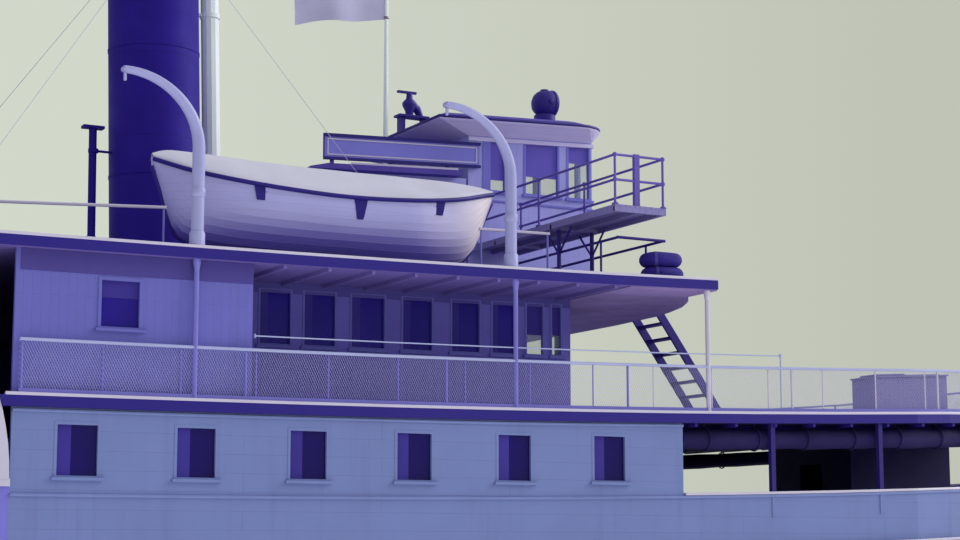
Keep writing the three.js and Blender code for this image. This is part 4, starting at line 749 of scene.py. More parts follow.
def netting(form, start, end, low, high, at, along, out):
    """Crossed wires from start to end; at finds the place of a wire's foot or head."""
    pitch, wire, slope = 0.045, 0.0026, 0.5
    up, out = (Vector(along) * 0.9 + Vector((0, 0, 0.5))) * wire, Vector(out) * wire
    for lean in (-1, 1):
        for i in range(int((end - start) / pitch) + 1):
            here = start + pitch * i
            there = min(max(here + lean * (high - low) * slope, start), end)
            rise = abs(there - here) / slope
            if rise >= 0.05:
                ends = Vector(at(here, low)), Vector(at(there, low + rise))
                form.loft([[p + out, p - out * 0.5 + up, p - out * 0.5 - up] for p in ends], ends=False)


def upright(form, x, y, foot, head, radius, sides=8):
    form.tube([(x, y, foot), (x, y, head)], radius, sides)


def post(form, x, y, foot, head, radius):
    upright(form, x, y, foot, head, radius, 12)
    form.turned([(radius + 0.035, foot + 0.001), (radius + 0.035, foot + 0.03), (radius, foot + 0.07)],
                (x, y, 0), sides=12)


def cross_rail(form, x, half, deck):
    """The rail's length across the end of a deck."""
    form.loft([[(x + 0.065 + out, y, deck + RAIL_HIGH - 0.01 + sheer(x) + up) for out, up in RAIL]
               for y in (-half, half)])


print("the rail is", RAIL_HIGH, "m over the deck")

# %% [markdown]
# Thin bars stand at short steps, thicker ones at every third, and stanchions reach the deck above. They
# are set by distance along the deck's curved edge, because a straight array would leave it. Beside the
# cabins they are painted darker than the rails, a painted shade; forward of the saloon and across the
# deck's ends they are pale.

# %% Promenade railing
for place, x0, x1, end in (("fore", 1.3, 28.55, 28.48), ("aft", -32.85, -7.7, -32.85)):
    line = edge_line(x0, x1, rail_line)
    net, top_rails, house_posts, open_posts = forms(4)
    for _, side in SIDES:
        # Posts beside the cabins take the darker post paint, a painted shade; the others the pale trim.
        def standing(x):
            return open_posts if x > 13 else house_posts, x, side * (line(x) - 0.035), PROMENADE + sheer(x)

        netting(net, x0, x1, PROMENADE + 0.1, PROMENADE + 0.9,
                lambda x, z: (x, side * (line(x) - 0.035), z + sheer(x)), (1, 0, 0), (0, side, 0))
        run(top_rails, side, frames(x0, x1), line, RAIL, PROMENADE + RAIL_HIGH)
        run(house_posts, side, frames(x0, x1), line, FOOT_RAIL, PROMENADE)
        for form, x, y, foot in map(standing, spaced(x0 + 0.04, x1 - 0.04, 1.37)):
            upright(form, x, y, foot, foot + BAR_HIGH, 0.014, 6)
        for form, x, y, foot in map(standing, spaced(x0 + 0.04, x1 - 0.04, 4.1)):
            post(form, x, y, foot, foot + BAR_HIGH, 0.022)
        for form, x, y, foot in map(standing, STANCHIONS[place]):
            head = UNDER_TOP + sheer(x) - 0.002
            post(form, x, y, foot, head, 0.045)
            form.turned([(0.045, head - 0.2), (0.07, head - 0.05), (0.07, head)], (x, y, 0), sides=12)
    half, foot = line(end) - 0.04, PROMENADE + sheer(end)
    cross_rail(top_rails, end, half, PROMENADE)
    net_deck = PROMENADE + sheer(end + 0.03)
    netting(net, -half, half, net_deck + 0.1, net_deck + 0.88, lambda y, z: (end + 0.03, y, z),
            (0, 1, 0), (1, 0, 0))
    for y in spaced(-half, half, 1.2):
        upright(open_posts, end + 0.03, y, foot, foot + BAR_HIGH, 0.014, 6)
    build(f"promenade_top_rail_{place}", top_rails, "rail", replaces=(f"promenade_rail_{place}",))
    build(f"promenade_netting_{place}", net, "wire")
    build(f"promenade_posts_{place}", house_posts, "post", smooth=40)
    build(f"promenade_open_posts_{place}", open_posts, "trim", smooth=40)

# %% [markdown]
# A hand wire runs over the rail from stanchion to stanchion and round to the bow. It is drawn tight, so
# a thin straight bar between its eyes is enough, and no sagging curve is needed.

# %% Hand wire
WIRE_UP = 1.17
hand_wire = Form()
for _, side in SIDES:
    def wire_place(x, up=0.0):
        return x, side * (rail_line(x) - 0.035), PROMENADE + sheer(x) + up

    for x0, x1 in ((5.4, 14.85), (14.85, 16.6)):
        hand_wire.tube([wire_place(x, WIRE_UP) for x in frames(x0, x1)], 0.012, 6)
    for x in (10.54, 14.85, 16.6):
        hand_wire.turned([(0.012, WIRE_UP - 0.04), (0.03, WIRE_UP - 0.02), (0.03, WIRE_UP + 0.02),
                          (0.012, WIRE_UP + 0.04)], wire_place(x), sides=8)
    hand_wire.tube([wire_place(16.6, 0.001), wire_place(16.6, 1.2)], 0.014, 8)
    hand_wire.turned([(0.04, -0.028), (0.04, -0.015), (0.015, 0.0)], wire_place(5.4, WIRE_UP), "x", 10)
build("promenade_hand_wire", hand_wire, "rail", smooth=50)

# %% [markdown]
# The top deck's railing is plainer: one flat rail on low posts, between the boats. It stands on a kerb,
# which is a strip like the nosings, so it is made by the same function.

# %% Hurricane railing
KERB = [(-0.07, -0.02), (0, -0.02), (0, 0.055), (-0.015, 0.07), (-0.07, 0.07)]
KERB_FORE = ((1.3, 6.5), (4.2, 7.3), (10.0, 7.3), (10.3, 7.6), (11.9, 7.6))
KERB_AFT, KERB_BACK, KERB_INBOARD = -26.6, -7.75, 4.95
top_bars, low_posts = forms(2)


def kerb_line(x):
    return float(np.interp(x, *zip(*KERB_FORE))) if x > 0 else 7.3


for _, side in SIDES:
    kerb_ends = [x for x, _ in KERB_FORE]
    for xa, xb in (*zip(kerb_ends, kerb_ends[1:]), (KERB_AFT, KERB_BACK)):
        run(low_posts, side, frames(xa, xb), kerb_line, KERB, HURRICANE)
    run(low_posts, side, frames(KERB_BACK, 1.3), lambda _: KERB_INBOARD, KERB, HURRICANE)
    for x, y in ((KERB_BACK, 7.3), (1.3, 6.5)):
        low_posts.box(x - 0.035, x + 0.035, side * (KERB_INBOARD - 0.07), side * y,
                      HURRICANE - 0.02 + sheer(x), HURRICANE + 0.068 + sheer(x))
    for x0, x1 in ((1.3, 4.2), (10.35, 11.9), (-15.3, KERB_BACK), (KERB_AFT, -22.8)):
        run(top_bars, side, frames(x0, x1), kerb_line, RAIL, HURRICANE + RAIL_HIGH)
        for x in spaced(x0 + 0.04, x1 - 0.04, 2.9):
            foot = HURRICANE + sheer(x)
            upright(low_posts, x, side * (kerb_line(x) - 0.035), foot, foot + BAR_HIGH, 0.02, 10)
cross_rail(top_bars, KERB_AFT, 7.26, HURRICANE)
build("hurricane_rail_top", top_bars, "trim", replaces=("hurricane_rail",))
# The posts take the darker post paint, a painted shade under the pale rail; the kerb shares it.
build("hurricane_rail_posts_and_kerb", low_posts, "post", smooth=40)

# %% [markdown]
# Canvas curtains can be let down round the foredeck. When not in use they hang rolled up under the
# promenade deck's edge, and their near-black colour is a painted shade, for the deep shade under that
# edge. Cloth could be simulated, but a roll is stiff: a tube whose thickness wanders a little, with
# ties round it, is closer and lighter.

# %% Rolled curtains
ROLL_DROP, ROLL_R, TIE_R, ROLL_BACK, ROLL_FRONT = 0.3, 0.2, 0.225, 14.3, 27.4
rolls, ties = forms(2)
line = edge_line(ROLL_BACK - 0.1, ROLL_FRONT + 0.1, lambda x: guard(x) - 0.36)
for _, side in SIDES:
    def roll_place(x, out=0.0, up=0.0):
        return x, side * (line(x) + out), UNDER_PROMENADE - ROLL_DROP + sheer(x) + up

    places = sorted({*frames(ROLL_BACK, ROLL_FRONT), *spaced(ROLL_BACK, ROLL_FRONT, 0.45)})
    rolls.tube([roll_place(x) for x in places],
               [ROLL_R * (1 + 0.05 * sin(5.1 * x) + 0.03 * sin(11.3 * x)) for x in places], 20)
    for x in spaced(ROLL_BACK + 0.6, ROLL_FRONT - 0.5, 1.2):
        ties.tube([roll_place(x, TIE_R * cos(t), TIE_R * sin(t)) for t in angles(16, True)], 0.018, 6)
        ties.tube([roll_place(x, 0, ROLL_R), roll_place(x, 0, ROLL_DROP)], 0.018, 6)
build("rolled_curtains", rolls, "curtain", smooth=60)
build("rolled_curtain_ties", ties, "curtain", smooth=60)

# %% [markdown]
# A frieze board closes the top of a cabin wall under the deck. It is a strip along the wall, a tone
# darker than the boards below it: that darker tone is a painted shade, where the deck above shades the
# wall.

# %% Frieze boards
frieze = Form()
for _, side in SIDES:
    for x0, x1, wall_y, drop in ((1.3, 5.37, WING_Y, 0.36), (-11.8, -7.7, WING_Y, 0.36),
                                 (5.4, SALOON_FRONT, SALOON_Y, 0.2), (SALOON_BACK, -11.85, SALOON_Y, 0.2)):
        section = [(0.001, -drop), (0.012, 0.004 - drop), (0.02, 0), (0.001, 0)]
        run(frieze, side, frames(x0, x1), lambda _: wall_y, section, UNDER_TOP - 0.002)
build("frieze_boards_in_painted_shade", frieze, "frieze")

# %% [markdown]
# The funnel is rolled plate that leans a little aft, with hoops over its seams and a collar on the
# deck. A cylinder could be tilted, but that would tilt its rings too. Here every ring stays level and
# only its centre moves, as on the solid.

# %% Funnel
FUNNEL_X, FUNNEL_R, FUNNEL_TOP, FUNNEL_RAKE = 6.5, 0.985, 20.2, 0.032
FUNNEL_FOOT = HURRICANE + sheer(FUNNEL_X) + 0.001
RIM = ((0, -0.36), (0.05, -0.32), (0.09, -0.28), (0.09, -0.04), (0.05, 0), (-0.05, 0), (-0.06, -0.1))


def funnel_axis(z):
    """How far forward the leaning funnel's middle lies at a height."""
    return FUNNEL_X - (z - HURRICANE + 0.1) * FUNNEL_RAKE


def funnel_rings(form, rows, sides):
    """Turned rows of (distance out of the plate, height) about the leaning axis."""
    form.loft([[(funnel_axis(z) + (FUNNEL_R + out) * cos(t), (FUNNEL_R + out) * sin(t), z)
                for t in angles(sides)] for out, z in rows])


shell, hoops = forms(2)
funnel_rings(shell, [(0, FUNNEL_FOOT)] + [(out, FUNNEL_TOP + up) for out, up in RIM] + [(-0.06, 12.9)], 72)
for z, proud, high in ((FUNNEL_FOOT + 0.1, 0.1, 0.2), (11.8, 0.012, 0.08), (14.6, 0.012, 0.08),
                       (17.4, 0.02, 0.1)):
    funnel_rings(hoops, [(-0.005, z - high / 2), (proud, z - high / 2 + 0.01),
                         (proud, z + high / 2 - 0.01), (-0.005, z + high / 2)], 48)
build("funnel_shell", shell, "funnel", smooth=40, replaces=("funnel",))
build("funnel_hoops", hoops, "funnel", smooth=40)

# %% [markdown]
# A slim exhaust pipe stands just aft of the funnel, held by two clamps and closed with a flat rain cap.
# It is a leaning tube with turned collars, so that it follows the funnel's lean.

# %% Exhaust pipe
EXHAUST_FOOT, EXHAUST_HEAD, CLAMPS = (5.05, 0, FUNNEL_FOOT), (5.0, 0, 12.8), (10.4, 12.3)
pipe = Form()
pipe.tube([EXHAUST_FOOT, EXHAUST_HEAD], 0.085, 16)
pipe.turned([(0.16, 0), (0.16, 0.04), (0.1, 0.1)], EXHAUST_FOOT, sides=16)
for z in CLAMPS:
    pipe.tube([(5.02, 0, z), (funnel_axis(z) - FUNNEL_R + 0.01, 0, z)], 0.028, 8)
    pipe.turned([(0.09, -0.05), (0.11, -0.04), (0.11, 0.04), (0.09, 0.05)], (5.02, 0, z), sides=16)
pipe.box(4.77, 5.23, -0.11, 0.11, 12.78, 12.84)
build("exhaust_pipe", pipe, "funnel", smooth=40)

# %% [markdown]
# The pale whistle pipe before the funnel is strapped to it in two places and ends in a brass whistle.
# Four taut wires hold the funnel. The whistle is turned from one profile, as it would be on a lathe,
# and the wires are thin straight bars, because they are under load.

# %% Whistle and funnel wires
PIPE_X, PIPE_FOOT, PIPE_LONG, PIPE_LEAN, WHISTLE_AT = 7.8, 8.83, 8.37, 0.26, (7.53, 0, 17.6)
WIRE_HEAD, WIRE_FEET = 17.4, ((0.4, 4.5), (10.9, 5.1))
straps, whistle, wires = forms(3)
for z in (11.2, 15.6):
    x = PIPE_X - (z - PIPE_FOOT) * PIPE_LEAN / PIPE_LONG
    straps.turned([(0.2, -0.06), (0.225, -0.05), (0.225, 0.05), (0.2, 0.06)], (x, 0, z))
    straps.box(funnel_axis(z) + FUNNEL_R - 0.01, x - 0.19, -0.06, 0.06, z - 0.03, z + 0.03)
whistle.turned([(0.05, 0), (0.05, 0.12), (0.11, 0.16), (0.11, 0.24), (0.1, 0.25), (0.1, 0.6),
                (0.07, 0.65), (0.02, 0.67)], WHISTLE_AT)
for _, side in SIDES:
    for x, y in WIRE_FEET:
        foot = Vector((x, side * y, HURRICANE + sheer(x) + 0.02))
        wires.tube([(funnel_axis(WIRE_HEAD), side * (FUNNEL_R - 0.02), WIRE_HEAD), foot], 0.006, 6)
        wires.turned([(0.05, -0.018), (0.05, 0), (0.02, 0.06)], foot, sides=8)
build("whistle_pipe_straps", straps, "pale_pipe", smooth=40)
build("whistle", whistle, "brass", smooth=40)
build("funnel_wires", wires, "trim", smooth=60)

# %% [markdown]
# The texas is the cabin behind the pilot house. Its roof line, and the blank name board over it, rise
# gently forward. The boards could be turned by an angle, but a square whose height follows the same
# slope keeps their ends upright.

# %% Texas cabin
RAKE, TEXAS_X, TEXAS_Y, TEXAS_WINDOWS, TEXAS_SILL, TEXAS_HEAD = 0.042, 9.35, 2.0, (10.4, 11.9), 10.5, 11.4
BOARD_X0, BOARD_FOOT, BOARD_LONG, BOARD_HIGH = 9.5, 12.19, 3.8, 0.54


def raked(x, level):
    """A level on the slope of the roof line."""
    return level + RAKE * (x - TEXAS_X)


frames_form, panes_form, boards, edges, battens = forms(5)
for _, side in SIDES:
    def board(a, o, z):
        return BOARD_X0 + a, side * (TEXAS_Y + 0.06 + o), raked(BOARD_X0 + a, BOARD_FOOT + z)

    for x in TEXAS_WINDOWS:
        window(frames_form, panes_form, wall_place(x, side, TEXAS_Y), 0.7, TEXAS_SILL, TEXAS_HEAD)
    boards.box(0.01, BOARD_LONG - 0.01, 0.001, 0.012, 0.01, BOARD_HIGH - 0.01, board)
    for z0, z1 in ((-0.02, 0.045), (BOARD_HIGH - 0.045, BOARD_HIGH + 0.02)):
        edges.box(-0.02, BOARD_LONG + 0.02, -0.01, 0.04, z0, z1, board)
    for z in (0.1, BOARD_HIGH - 0.1):
        battens.box(0.07, BOARD_LONG - 0.07, 0.012, 0.022, z - 0.014, z + 0.014, board)
    for x in (0.07, BOARD_LONG - 0.09):
        battens.box(x, x + 0.025, 0.012, 0.022, 0.115, BOARD_HIGH - 0.115, board)
    battens.box(0.6, 3.2, 0.1, 0.14, -0.135, -0.075, board)
for piece, form, key in (("texas_window_frames", frames_form, "house"),
                         ("texas_window_panes", panes_form, "glass"), ("name_boards", boards, "board"),
                         ("name_board_edges", edges, "edge"), ("name_board_battens", battens, "trim")):
    build(piece, form, key)

# %% [markdown]
# The front of the pilot house is bowed in plan, like a shallow bay. Its corners are listed once, and
# windows, mouldings and roof all ask the same curve, so that they meet.

# %% Shape of the pilot house
PILOT_SIDE_WINDOWS, PILOT_SILL, PILOT_HEAD = ((13.72, 0.54), (14.95, 0.88), (15.94, 0.58)), 11.85, 12.84
PILOT_FRONT_WINDOWS = (-1.45, -0.5, 0.5, 1.45)
BLIND_FEET = {-1: (12.12, 12.28, 12.7), 1: (12.9, 12.94, 12.98)}
BOW_SHARES, PILOT_BACK, PILOT_FRONT, PILOT_BOW = (0, 0.4, 0.7, 0.9, 1.0), 13.05, 16.3, 0.35


def pilot_bow(y):
    """How far forward the bowed front lies at a distance from the centreline."""
    bow = [PILOT_FRONT + PILOT_BOW * (1 - share * share) for share in BOW_SHARES]
    return float(np.interp(abs(y) / TEXAS_Y, BOW_SHARES, bow))


PILOT_PLAN = [(pilot_bow(y), y) for y in (-2.0, -1.8, -1.4, -0.8, 0, 0.8, 1.4, 1.8, 2.0)]
PILOT_PLAN = [(PILOT_BACK, -TEXAS_Y), *PILOT_PLAN, (PILOT_BACK, TEXAS_Y)]


def proud_of_plan(i, out):
    """A corner of the plan, moved out: forward on the bow, sideways on the sides."""
    x, y = PILOT_PLAN[i]
    return x + (out if 0 < i < len(PILOT_PLAN) - 1 else 0), y + (copysign(out, y) if abs(y) > 1.9 else 0)


print("the pilot house reaches to", pilot_bow(0))

# %% [markdown]
# The pilot house is glazed all round, so that light comes through from side to side. The glass is clear
# and thin. Roller blinds hang on the sunny side: plain thin boards, because a blind under its weight is
# flat.

# %% Pilot house
frames_form, clear_form, blinds, cornice, belt = forms(5)
for _, side in SIDES:
    for (x, width), foot in zip(PILOT_SIDE_WINDOWS, BLIND_FEET[side]):
        at = wall_place(x, side, TEXAS_Y)
        window(frames_form, clear_form, at, width, PILOT_SILL, raked(x, PILOT_HEAD), 0.03)
        blinds.box(0.01 - width / 2, width / 2 - 0.01, -0.045, -0.035, foot, raked(x, PILOT_HEAD - 0.01), at)
    frames_form.box(-0.255, -0.1, -0.034, 0.004, PILOT_SILL + 0.02, raked(13.55, PILOT_HEAD),
                    wall_place(13.72, side, TEXAS_Y))
for y in PILOT_FRONT_WINDOWS:
    window(frames_form, clear_form, lambda a, o, z: (pilot_bow(y + a) + o, y + a, z), 0.8, PILOT_SILL,
           13.1, 0.03)
for form, out, z0, z1 in ((cornice, 0.035, 12.8, 12.9), (belt, 0.02, 11.6, 11.66)):
    section = [(0.001, z0), (out, z0 + 0.01), (out, z1 - 0.01), (0.001, z1)]
    form.loft([[(*proud_of_plan(i, o), raked(PILOT_PLAN[i][0], z) if form is cornice else z)
                for o, z in section] for i in range(len(PILOT_PLAN) - 1, -1, -1)])
build("pilot_window_frames", frames_form, "house")
build("pilot_window_panes", clear_form, "clear")
build("pilot_cornice", cornice, "soffit")
build("pilot_house_belt", belt, "house")
build("pilot_house_blinds", blinds, "blind")

# %% [markdown]
# The eave spreads wide over the walls, boarded below, with a thin dark edge and a canvas crown. The
# boards below are painted far lighter than the walls: a painted light on the underside. A single slab
# would look heavy, so three skins are lofted from one outline, each ring drawn in by its own share.

# %% Pilot roof
PILOT_TOP, ROOF_MIDDLE = 12.92, 14.5
EAVE = [(12.06, -2.5), (15.7, -2.5), (15.97, -2.46), (16.22, -2.33), (16.4, -2.18), (16.52, -2.02),
        (16.66, -1.72), (16.75, -1.4), (16.86, -0.8), (16.95, 0)]
EAVE += [(x, -y) for x, y in EAVE[-2::-1]]


def wall_below(x, y):
    """The place on the walls below a place on the eave."""
    px, py = min(max(x, PILOT_BACK), PILOT_FRONT), copysign(min(abs(y), TEXAS_Y), y)
    return (pilot_bow(py) if x > 15.8 else px), py


def roof_rings(rows, start):
    """Rings of the eave drawn in to a share of their way from a start, each with its height."""
    rings = []
    for share, rise in rows:
        plan = [(px + (x - px) * share, py + (y - py) * share)
                for (x, y), (px, py) in ((corner, start(*corner)) for corner in EAVE)]
        rings.append([(x, y, raked(x, PILOT_TOP + rise)) for x, y in plan])
    return rings


soffit, rim, crown = forms(3)
soffit_rings = roof_rings(((0.0, 0.004), (0.94, 0.238), (0.998, 0.266)), wall_below)
soffit.loft(soffit_rings, ends=False)
soffit.add(soffit_rings[0], [tuple(range(len(EAVE)))])
rim.loft([[(ROOF_MIDDLE + (x - ROOF_MIDDLE) * share, y * share, raked(x, PILOT_TOP + rise)) for x, y in EAVE]
          for share, rise in ((0.99, 0.262), (1.0, 0.268), (1.004, 0.3), (1.0, 0.332), (0.975, 0.35),
                              (0.95, 0.35))], ends=False)
crown.loft(roof_rings(((0.98, 0.345), (0.95, 0.37), (0.86, 0.46), (0.7, 0.47), (0.3, 0.475)),
                      lambda x, y: (ROOF_MIDDLE, 0)))
build("pilot_roof_soffit", soffit, "soffit", replaces=("pilot_roof",))
build("pilot_roof_edge", rim, "edge", smooth=60)
build("pilot_roof_crown", crown, "roof", smooth=60)

# %% [markdown]
# The horn stands on the roof: a column on a plate, with a flared mouth and a cross bar above. It is
# built up from turned and square parts, as such castings were.

# %% Horn
HORN_X, HORN_BASE = 12.55, 13.82
horn = Form()
for x in (12.28, 12.86):
    horn.box(x, x + 0.12, -0.1, 0.1, raked(x + 0.12, PILOT_TOP + 0.35), HORN_BASE)
horn.box(12.22, 13.0, -0.16, 0.16, HORN_BASE, HORN_BASE + 0.05)
horn.turned([(0.09, 0.05), (0.1, 0.16), (0.17, 0.3), (0.17, 0.36), (0.08, 0.46), (0.07, 0.58)],
            (HORN_X, 0, HORN_BASE), sides=20)
horn.box(12.24, 12.72, -0.04, 0.04, HORN_BASE + 0.58, HORN_BASE + 0.63)
horn.tube([(HORN_X, 0, HORN_BASE + 0.32), (12.75, 0, HORN_BASE + 0.22), (12.84, 0, HORN_BASE + 0.05)],
          [0.13, 0.1, 0.07], 14)
build("roof_horn", horn, "dark", smooth=45)

# %% [markdown]
# The searchlight is a round drum with a glass in front and a ventilated top. Its outline is turned
# about the ship's length, which gives the lips and the rim in one go.

# %% Searchlight
LAMP, LAMP_BASE = (16.2, 0, 14.56), 0.26
DRUM = [(0.04, -0.31), (0.13, -0.3), (0.23, -0.24), (0.28, -0.18), (0.31, -0.12), (0.335, 0.0),
        (0.335, 0.06), (0.328, 0.15), (0.345, 0.16), (0.345, 0.2), (0.3, 0.25), (0.28, 0.26), (0.27, 0.23)]
drum, lens = forms(2)
lamp_foot = raked(LAMP[0] + LAMP_BASE, PILOT_TOP + 0.46) + 0.002 - LAMP[2]
drum.turned(DRUM, LAMP, "x", 40)
drum.turned([(LAMP_BASE, lamp_foot), (LAMP_BASE, -0.3), (0.2, -0.26)], LAMP, sides=32)
drum.turned([(0.1, 0.31), (0.1, 0.345), (0.02, 0.35)], LAMP, sides=20)
for _, side in SIDES:
    drum.turned([(0.06, side * 0.31), (0.06, side * 0.36), (0.02, side * 0.37)], LAMP, "y", 12)
lens.turned([(0.268, 0.235), (0.2, 0.25), (0.01, 0.262)], LAMP, "x", 32)
build("searchlight_drum", drum, "dark", smooth=45, replaces=("searchlight",))
build("searchlight_lens", lens, "glass", smooth=60)

# %% [markdown]
# The bridge wings are light platforms of planks on bearers, carried by two legs. Their rails are round
# bars with ball joints, and a lower rail stands on the deck beneath. Planks are laid one by one,
# because the gaps between them show from below.

# %% Bridge wings
BRIDGE_X0, BRIDGE_X1, BRIDGE_Y, BRIDGE_TOP, PLANK_COUNT = 13.08, 14.28, 8.1, 10.55, 10
LOW_X0, LOW_X1, LOW_Y, LOW_Z, LEG_Y = 13.34, 14.41, 7.8, 9.95, 5.6
BRIDGE_RAILS = (0.5, 1.0)
for name, side in SIDES:
    planks, rails, legs = forms(3)
    inner, pitch = TEXAS_Y + 0.004, (BRIDGE_X1 - BRIDGE_X0) / PLANK_COUNT

    def bridge(x, y, z):
        return x, side * y, BRIDGE_TOP + z

    for x in [BRIDGE_X0 + i * pitch for i in range(PLANK_COUNT)]:
        planks.box(x + 0.004, x + pitch - 0.004, inner, BRIDGE_Y, -0.045, 0, bridge)
    for x in (BRIDGE_X0 + 0.03, (BRIDGE_X0 + BRIDGE_X1) / 2, BRIDGE_X1 - 0.03):
        planks.box(x - 0.03, x + 0.03, inner, BRIDGE_Y - 0.01, -0.14, -0.046, bridge)
    for y in (BRIDGE_Y - 0.03, LEG_Y, 3.2):
        planks.box(BRIDGE_X0, BRIDGE_X1, y - 0.03, y + 0.03, -0.142, -0.047, bridge)
    for x in (BRIDGE_X0 + 0.04, BRIDGE_X1 - 0.04):
        for y in (BRIDGE_Y - 0.05, (BRIDGE_Y + TEXAS_Y) / 2, TEXAS_Y + 0.3):
            rails.tube([bridge(x, y, -0.01), bridge(x, y, 1.03)], 0.025)
            rails.turned([(0.07, 0.001), (0.07, 0.02), (0.03, 0.05)], bridge(x, y, 0), sides=10)
            for z in BRIDGE_RAILS:
                rails.turned([(0.02, -0.045), (0.045, -0.025), (0.045, 0.025), (0.02, 0.045)],
                             bridge(x, y, z), sides=10)
    for z in BRIDGE_RAILS:
        for x in (BRIDGE_X0 + 0.04, BRIDGE_X1 - 0.04):
            rails.tube([bridge(x, TEXAS_Y + 0.28, z), bridge(x, BRIDGE_Y - 0.03, z)], 0.026, 10)
        rails.tube([bridge(x, BRIDGE_Y - 0.05, z) for x in (BRIDGE_X0 + 0.02, BRIDGE_X1 - 0.02)], 0.026, 10)
    rails.box(13.56, 13.68, BRIDGE_Y - 0.1, BRIDGE_Y - 0.02, 0.001, 1.04, bridge)
    for x in (BRIDGE_X0 + 0.2, BRIDGE_X1 - 0.2):
        foot = HURRICANE + sheer(x)
        upright(legs, x, side * LEG_Y, foot + 0.001, BRIDGE_TOP - 0.14, 0.045, 12)
        legs.turned([(0.12, 0.001), (0.12, 0.03), (0.055, 0.07)], (x, side * LEG_Y, foot), sides=12)
        for way in (-0.5, 0.5):
            legs.tube([bridge(x, LEG_Y, -0.65), bridge(x, LEG_Y + way, -0.15)], 0.022)
    for x in (LOW_X0, LOW_X1):
        legs.tube([(x, side * (TEXAS_Y + 0.1), LOW_Z), (x, side * LOW_Y, LOW_Z)], 0.028, 10)
        for y in (7.15, TEXAS_Y + 0.4):
            foot = HURRICANE + sheer(x)
            upright(legs, x, side * y, foot + 0.001, LOW_Z, 0.024)
            legs.turned([(0.06, 0.001), (0.06, 0.02), (0.026, 0.05)], (x, side * y, foot), sides=8)
    legs.tube([(LOW_X0 - 0.03, side * LOW_Y, LOW_Z), (LOW_X1 + 0.03, side * LOW_Y, LOW_Z)], 0.03, 10)
    build(f"bridge_planks_{name}", planks, "hood", replaces=(f"bridge_wing_{name}",))
    build(f"bridge_rails_{name}", rails, "bridge", smooth=40)
    build(f"bridge_legs_{name}", legs, "dark", smooth=40)

# %% [markdown]
# A life float is a ring of canvas-covered tube with a slatted floor. A torus would be round, but these
# are rectangles with round corners, so a tube is led along such a path. Two are stacked and bound with
# dark straps.

# %% Life floats
FLOAT_X, FLOAT_Y, FLOAT_LENGTH, FLOAT_WIDTH, FLOAT_R = 14.12, -8.16, 0.84, 0.66, 0.14
float_foot = HURRICANE + sheer(FLOAT_X) + 0.004


def ring_path(length, width, corner, steps=5):
    """A rounded rectangle about its middle."""
    path = []
    for start, (cx, cy) in enumerate(((1, 1), (-1, 1), (-1, -1), (1, -1))):
        for t in [pi / 2 * (start + k / steps) for k in range(steps + 1)]:
            path.append((cx * (length / 2 - corner) + corner * cos(t),
                         cy * (width / 2 - corner) + corner * sin(t)))
    return path


rings, straps, slats = forms(3)
for level in (0, 1):
    x, z = FLOAT_X - 0.03 * level, float_foot + FLOAT_R * (1 + 2 * level) + 0.006 * level
    loop = [Vector((x + dx, FLOAT_Y + dy, z))
            for dx, dy in ring_path(FLOAT_LENGTH - 2 * FLOAT_R, FLOAT_WIDTH - 2 * FLOAT_R, 0.16)]
    rings.tube(loop + loop[:2], FLOAT_R, 14)
    for i in (3, 9, 15, 21):
        way = (loop[(i + 1) % len(loop)] - loop[i]).normalized() * 0.03
        straps.tube([loop[i] - way, loop[i] + way], FLOAT_R + 0.006, 14)
    for y in (FLOAT_Y - 0.08, FLOAT_Y, FLOAT_Y + 0.08):
        slats.box(x - 0.22, x + 0.22, y - 0.03, y + 0.03, z - 0.03, z - 0.01)
build("life_float_rings", rings, "float", smooth=60, replaces=("life_floats",))
build("life_float_straps", straps, "frieze", smooth=60)
build("life_float_slats", slats, "dark")

# %% [markdown]
# A lifeboat is clinker built: narrow strakes that lap down to the keel. The rows give, at places along
# the boat, the breadth, the keel's rise, the gunwale and the ridge of the cover. A smooth curve through
# the rows needs far fewer numbers than a modelled shell.

# %% Lines of a lifeboat
BOAT_HALF, BOAT_HALF_BEAM, BOAT_Y, BOAT_KEEL, STRAKES, TAB_DEEP = 3.48, 0.95, 6.8, 0.25, 9, 0.45
BOAT_ROWS = (
    (-1, 0.05, 1.5, 1.64, 1.7), (-0.955, 0.14, 1.1, 1.58, 1.76), (-0.915, 0.26, 0.62, 1.52, 1.79),
    (-0.86, 0.42, 0.24, 1.44, 1.8), (-0.7, 0.7, 0.07, 1.3, 1.79), (-0.4, 0.93, 0, 1.16, 1.75),
    (0, 1, 0, 1.09, 1.73), (0.4, 0.96, 0, 1.15, 1.73), (0.68, 0.76, 0.05, 1.28, 1.72),
    (0.81, 0.57, 0.18, 1.39, 1.7), (0.88, 0.42, 0.48, 1.46, 1.68), (0.94, 0.25, 0.95, 1.52, 1.65),
    (1, 0.06, 1.4, 1.58, 1.61))
BOATS = (("fore", 7.55, (4.31, 10.47)), ("aft", -19.0, (-22.24, -16.08)))


def boat_row(place):
    """Breadth, keel, gunwale and ridge at a place from -1 to 1, drawn smoothly through the rows."""
    along, *columns = zip(*BOAT_ROWS)
    i = min(max(sum(a <= place for a in along) - 1, 0), len(along) - 2)
    span = along[i + 1] - along[i]
    t = (place - along[i]) / span

    def slope(values, k):
        a, b = max(k - 1, 0), min(k + 1, len(values) - 1)
        return (values[b] - values[a]) / (along[b] - along[a]) * span
    return [(2 * t ** 3 - 3 * t ** 2 + 1) * values[i] + (t ** 3 - 2 * t ** 2 + t) * slope(values, i)
            + (3 * t ** 2 - 2 * t ** 3) * values[i + 1] + (t ** 3 - t ** 2) * slope(values, i + 1)
            for values in columns]


def boat_places(count):
    """Places from -1 to 1, closer together at the ends."""
    return [sin(pi / 2 * (2 * i / (count - 1) - 1)) for i in range(count)]


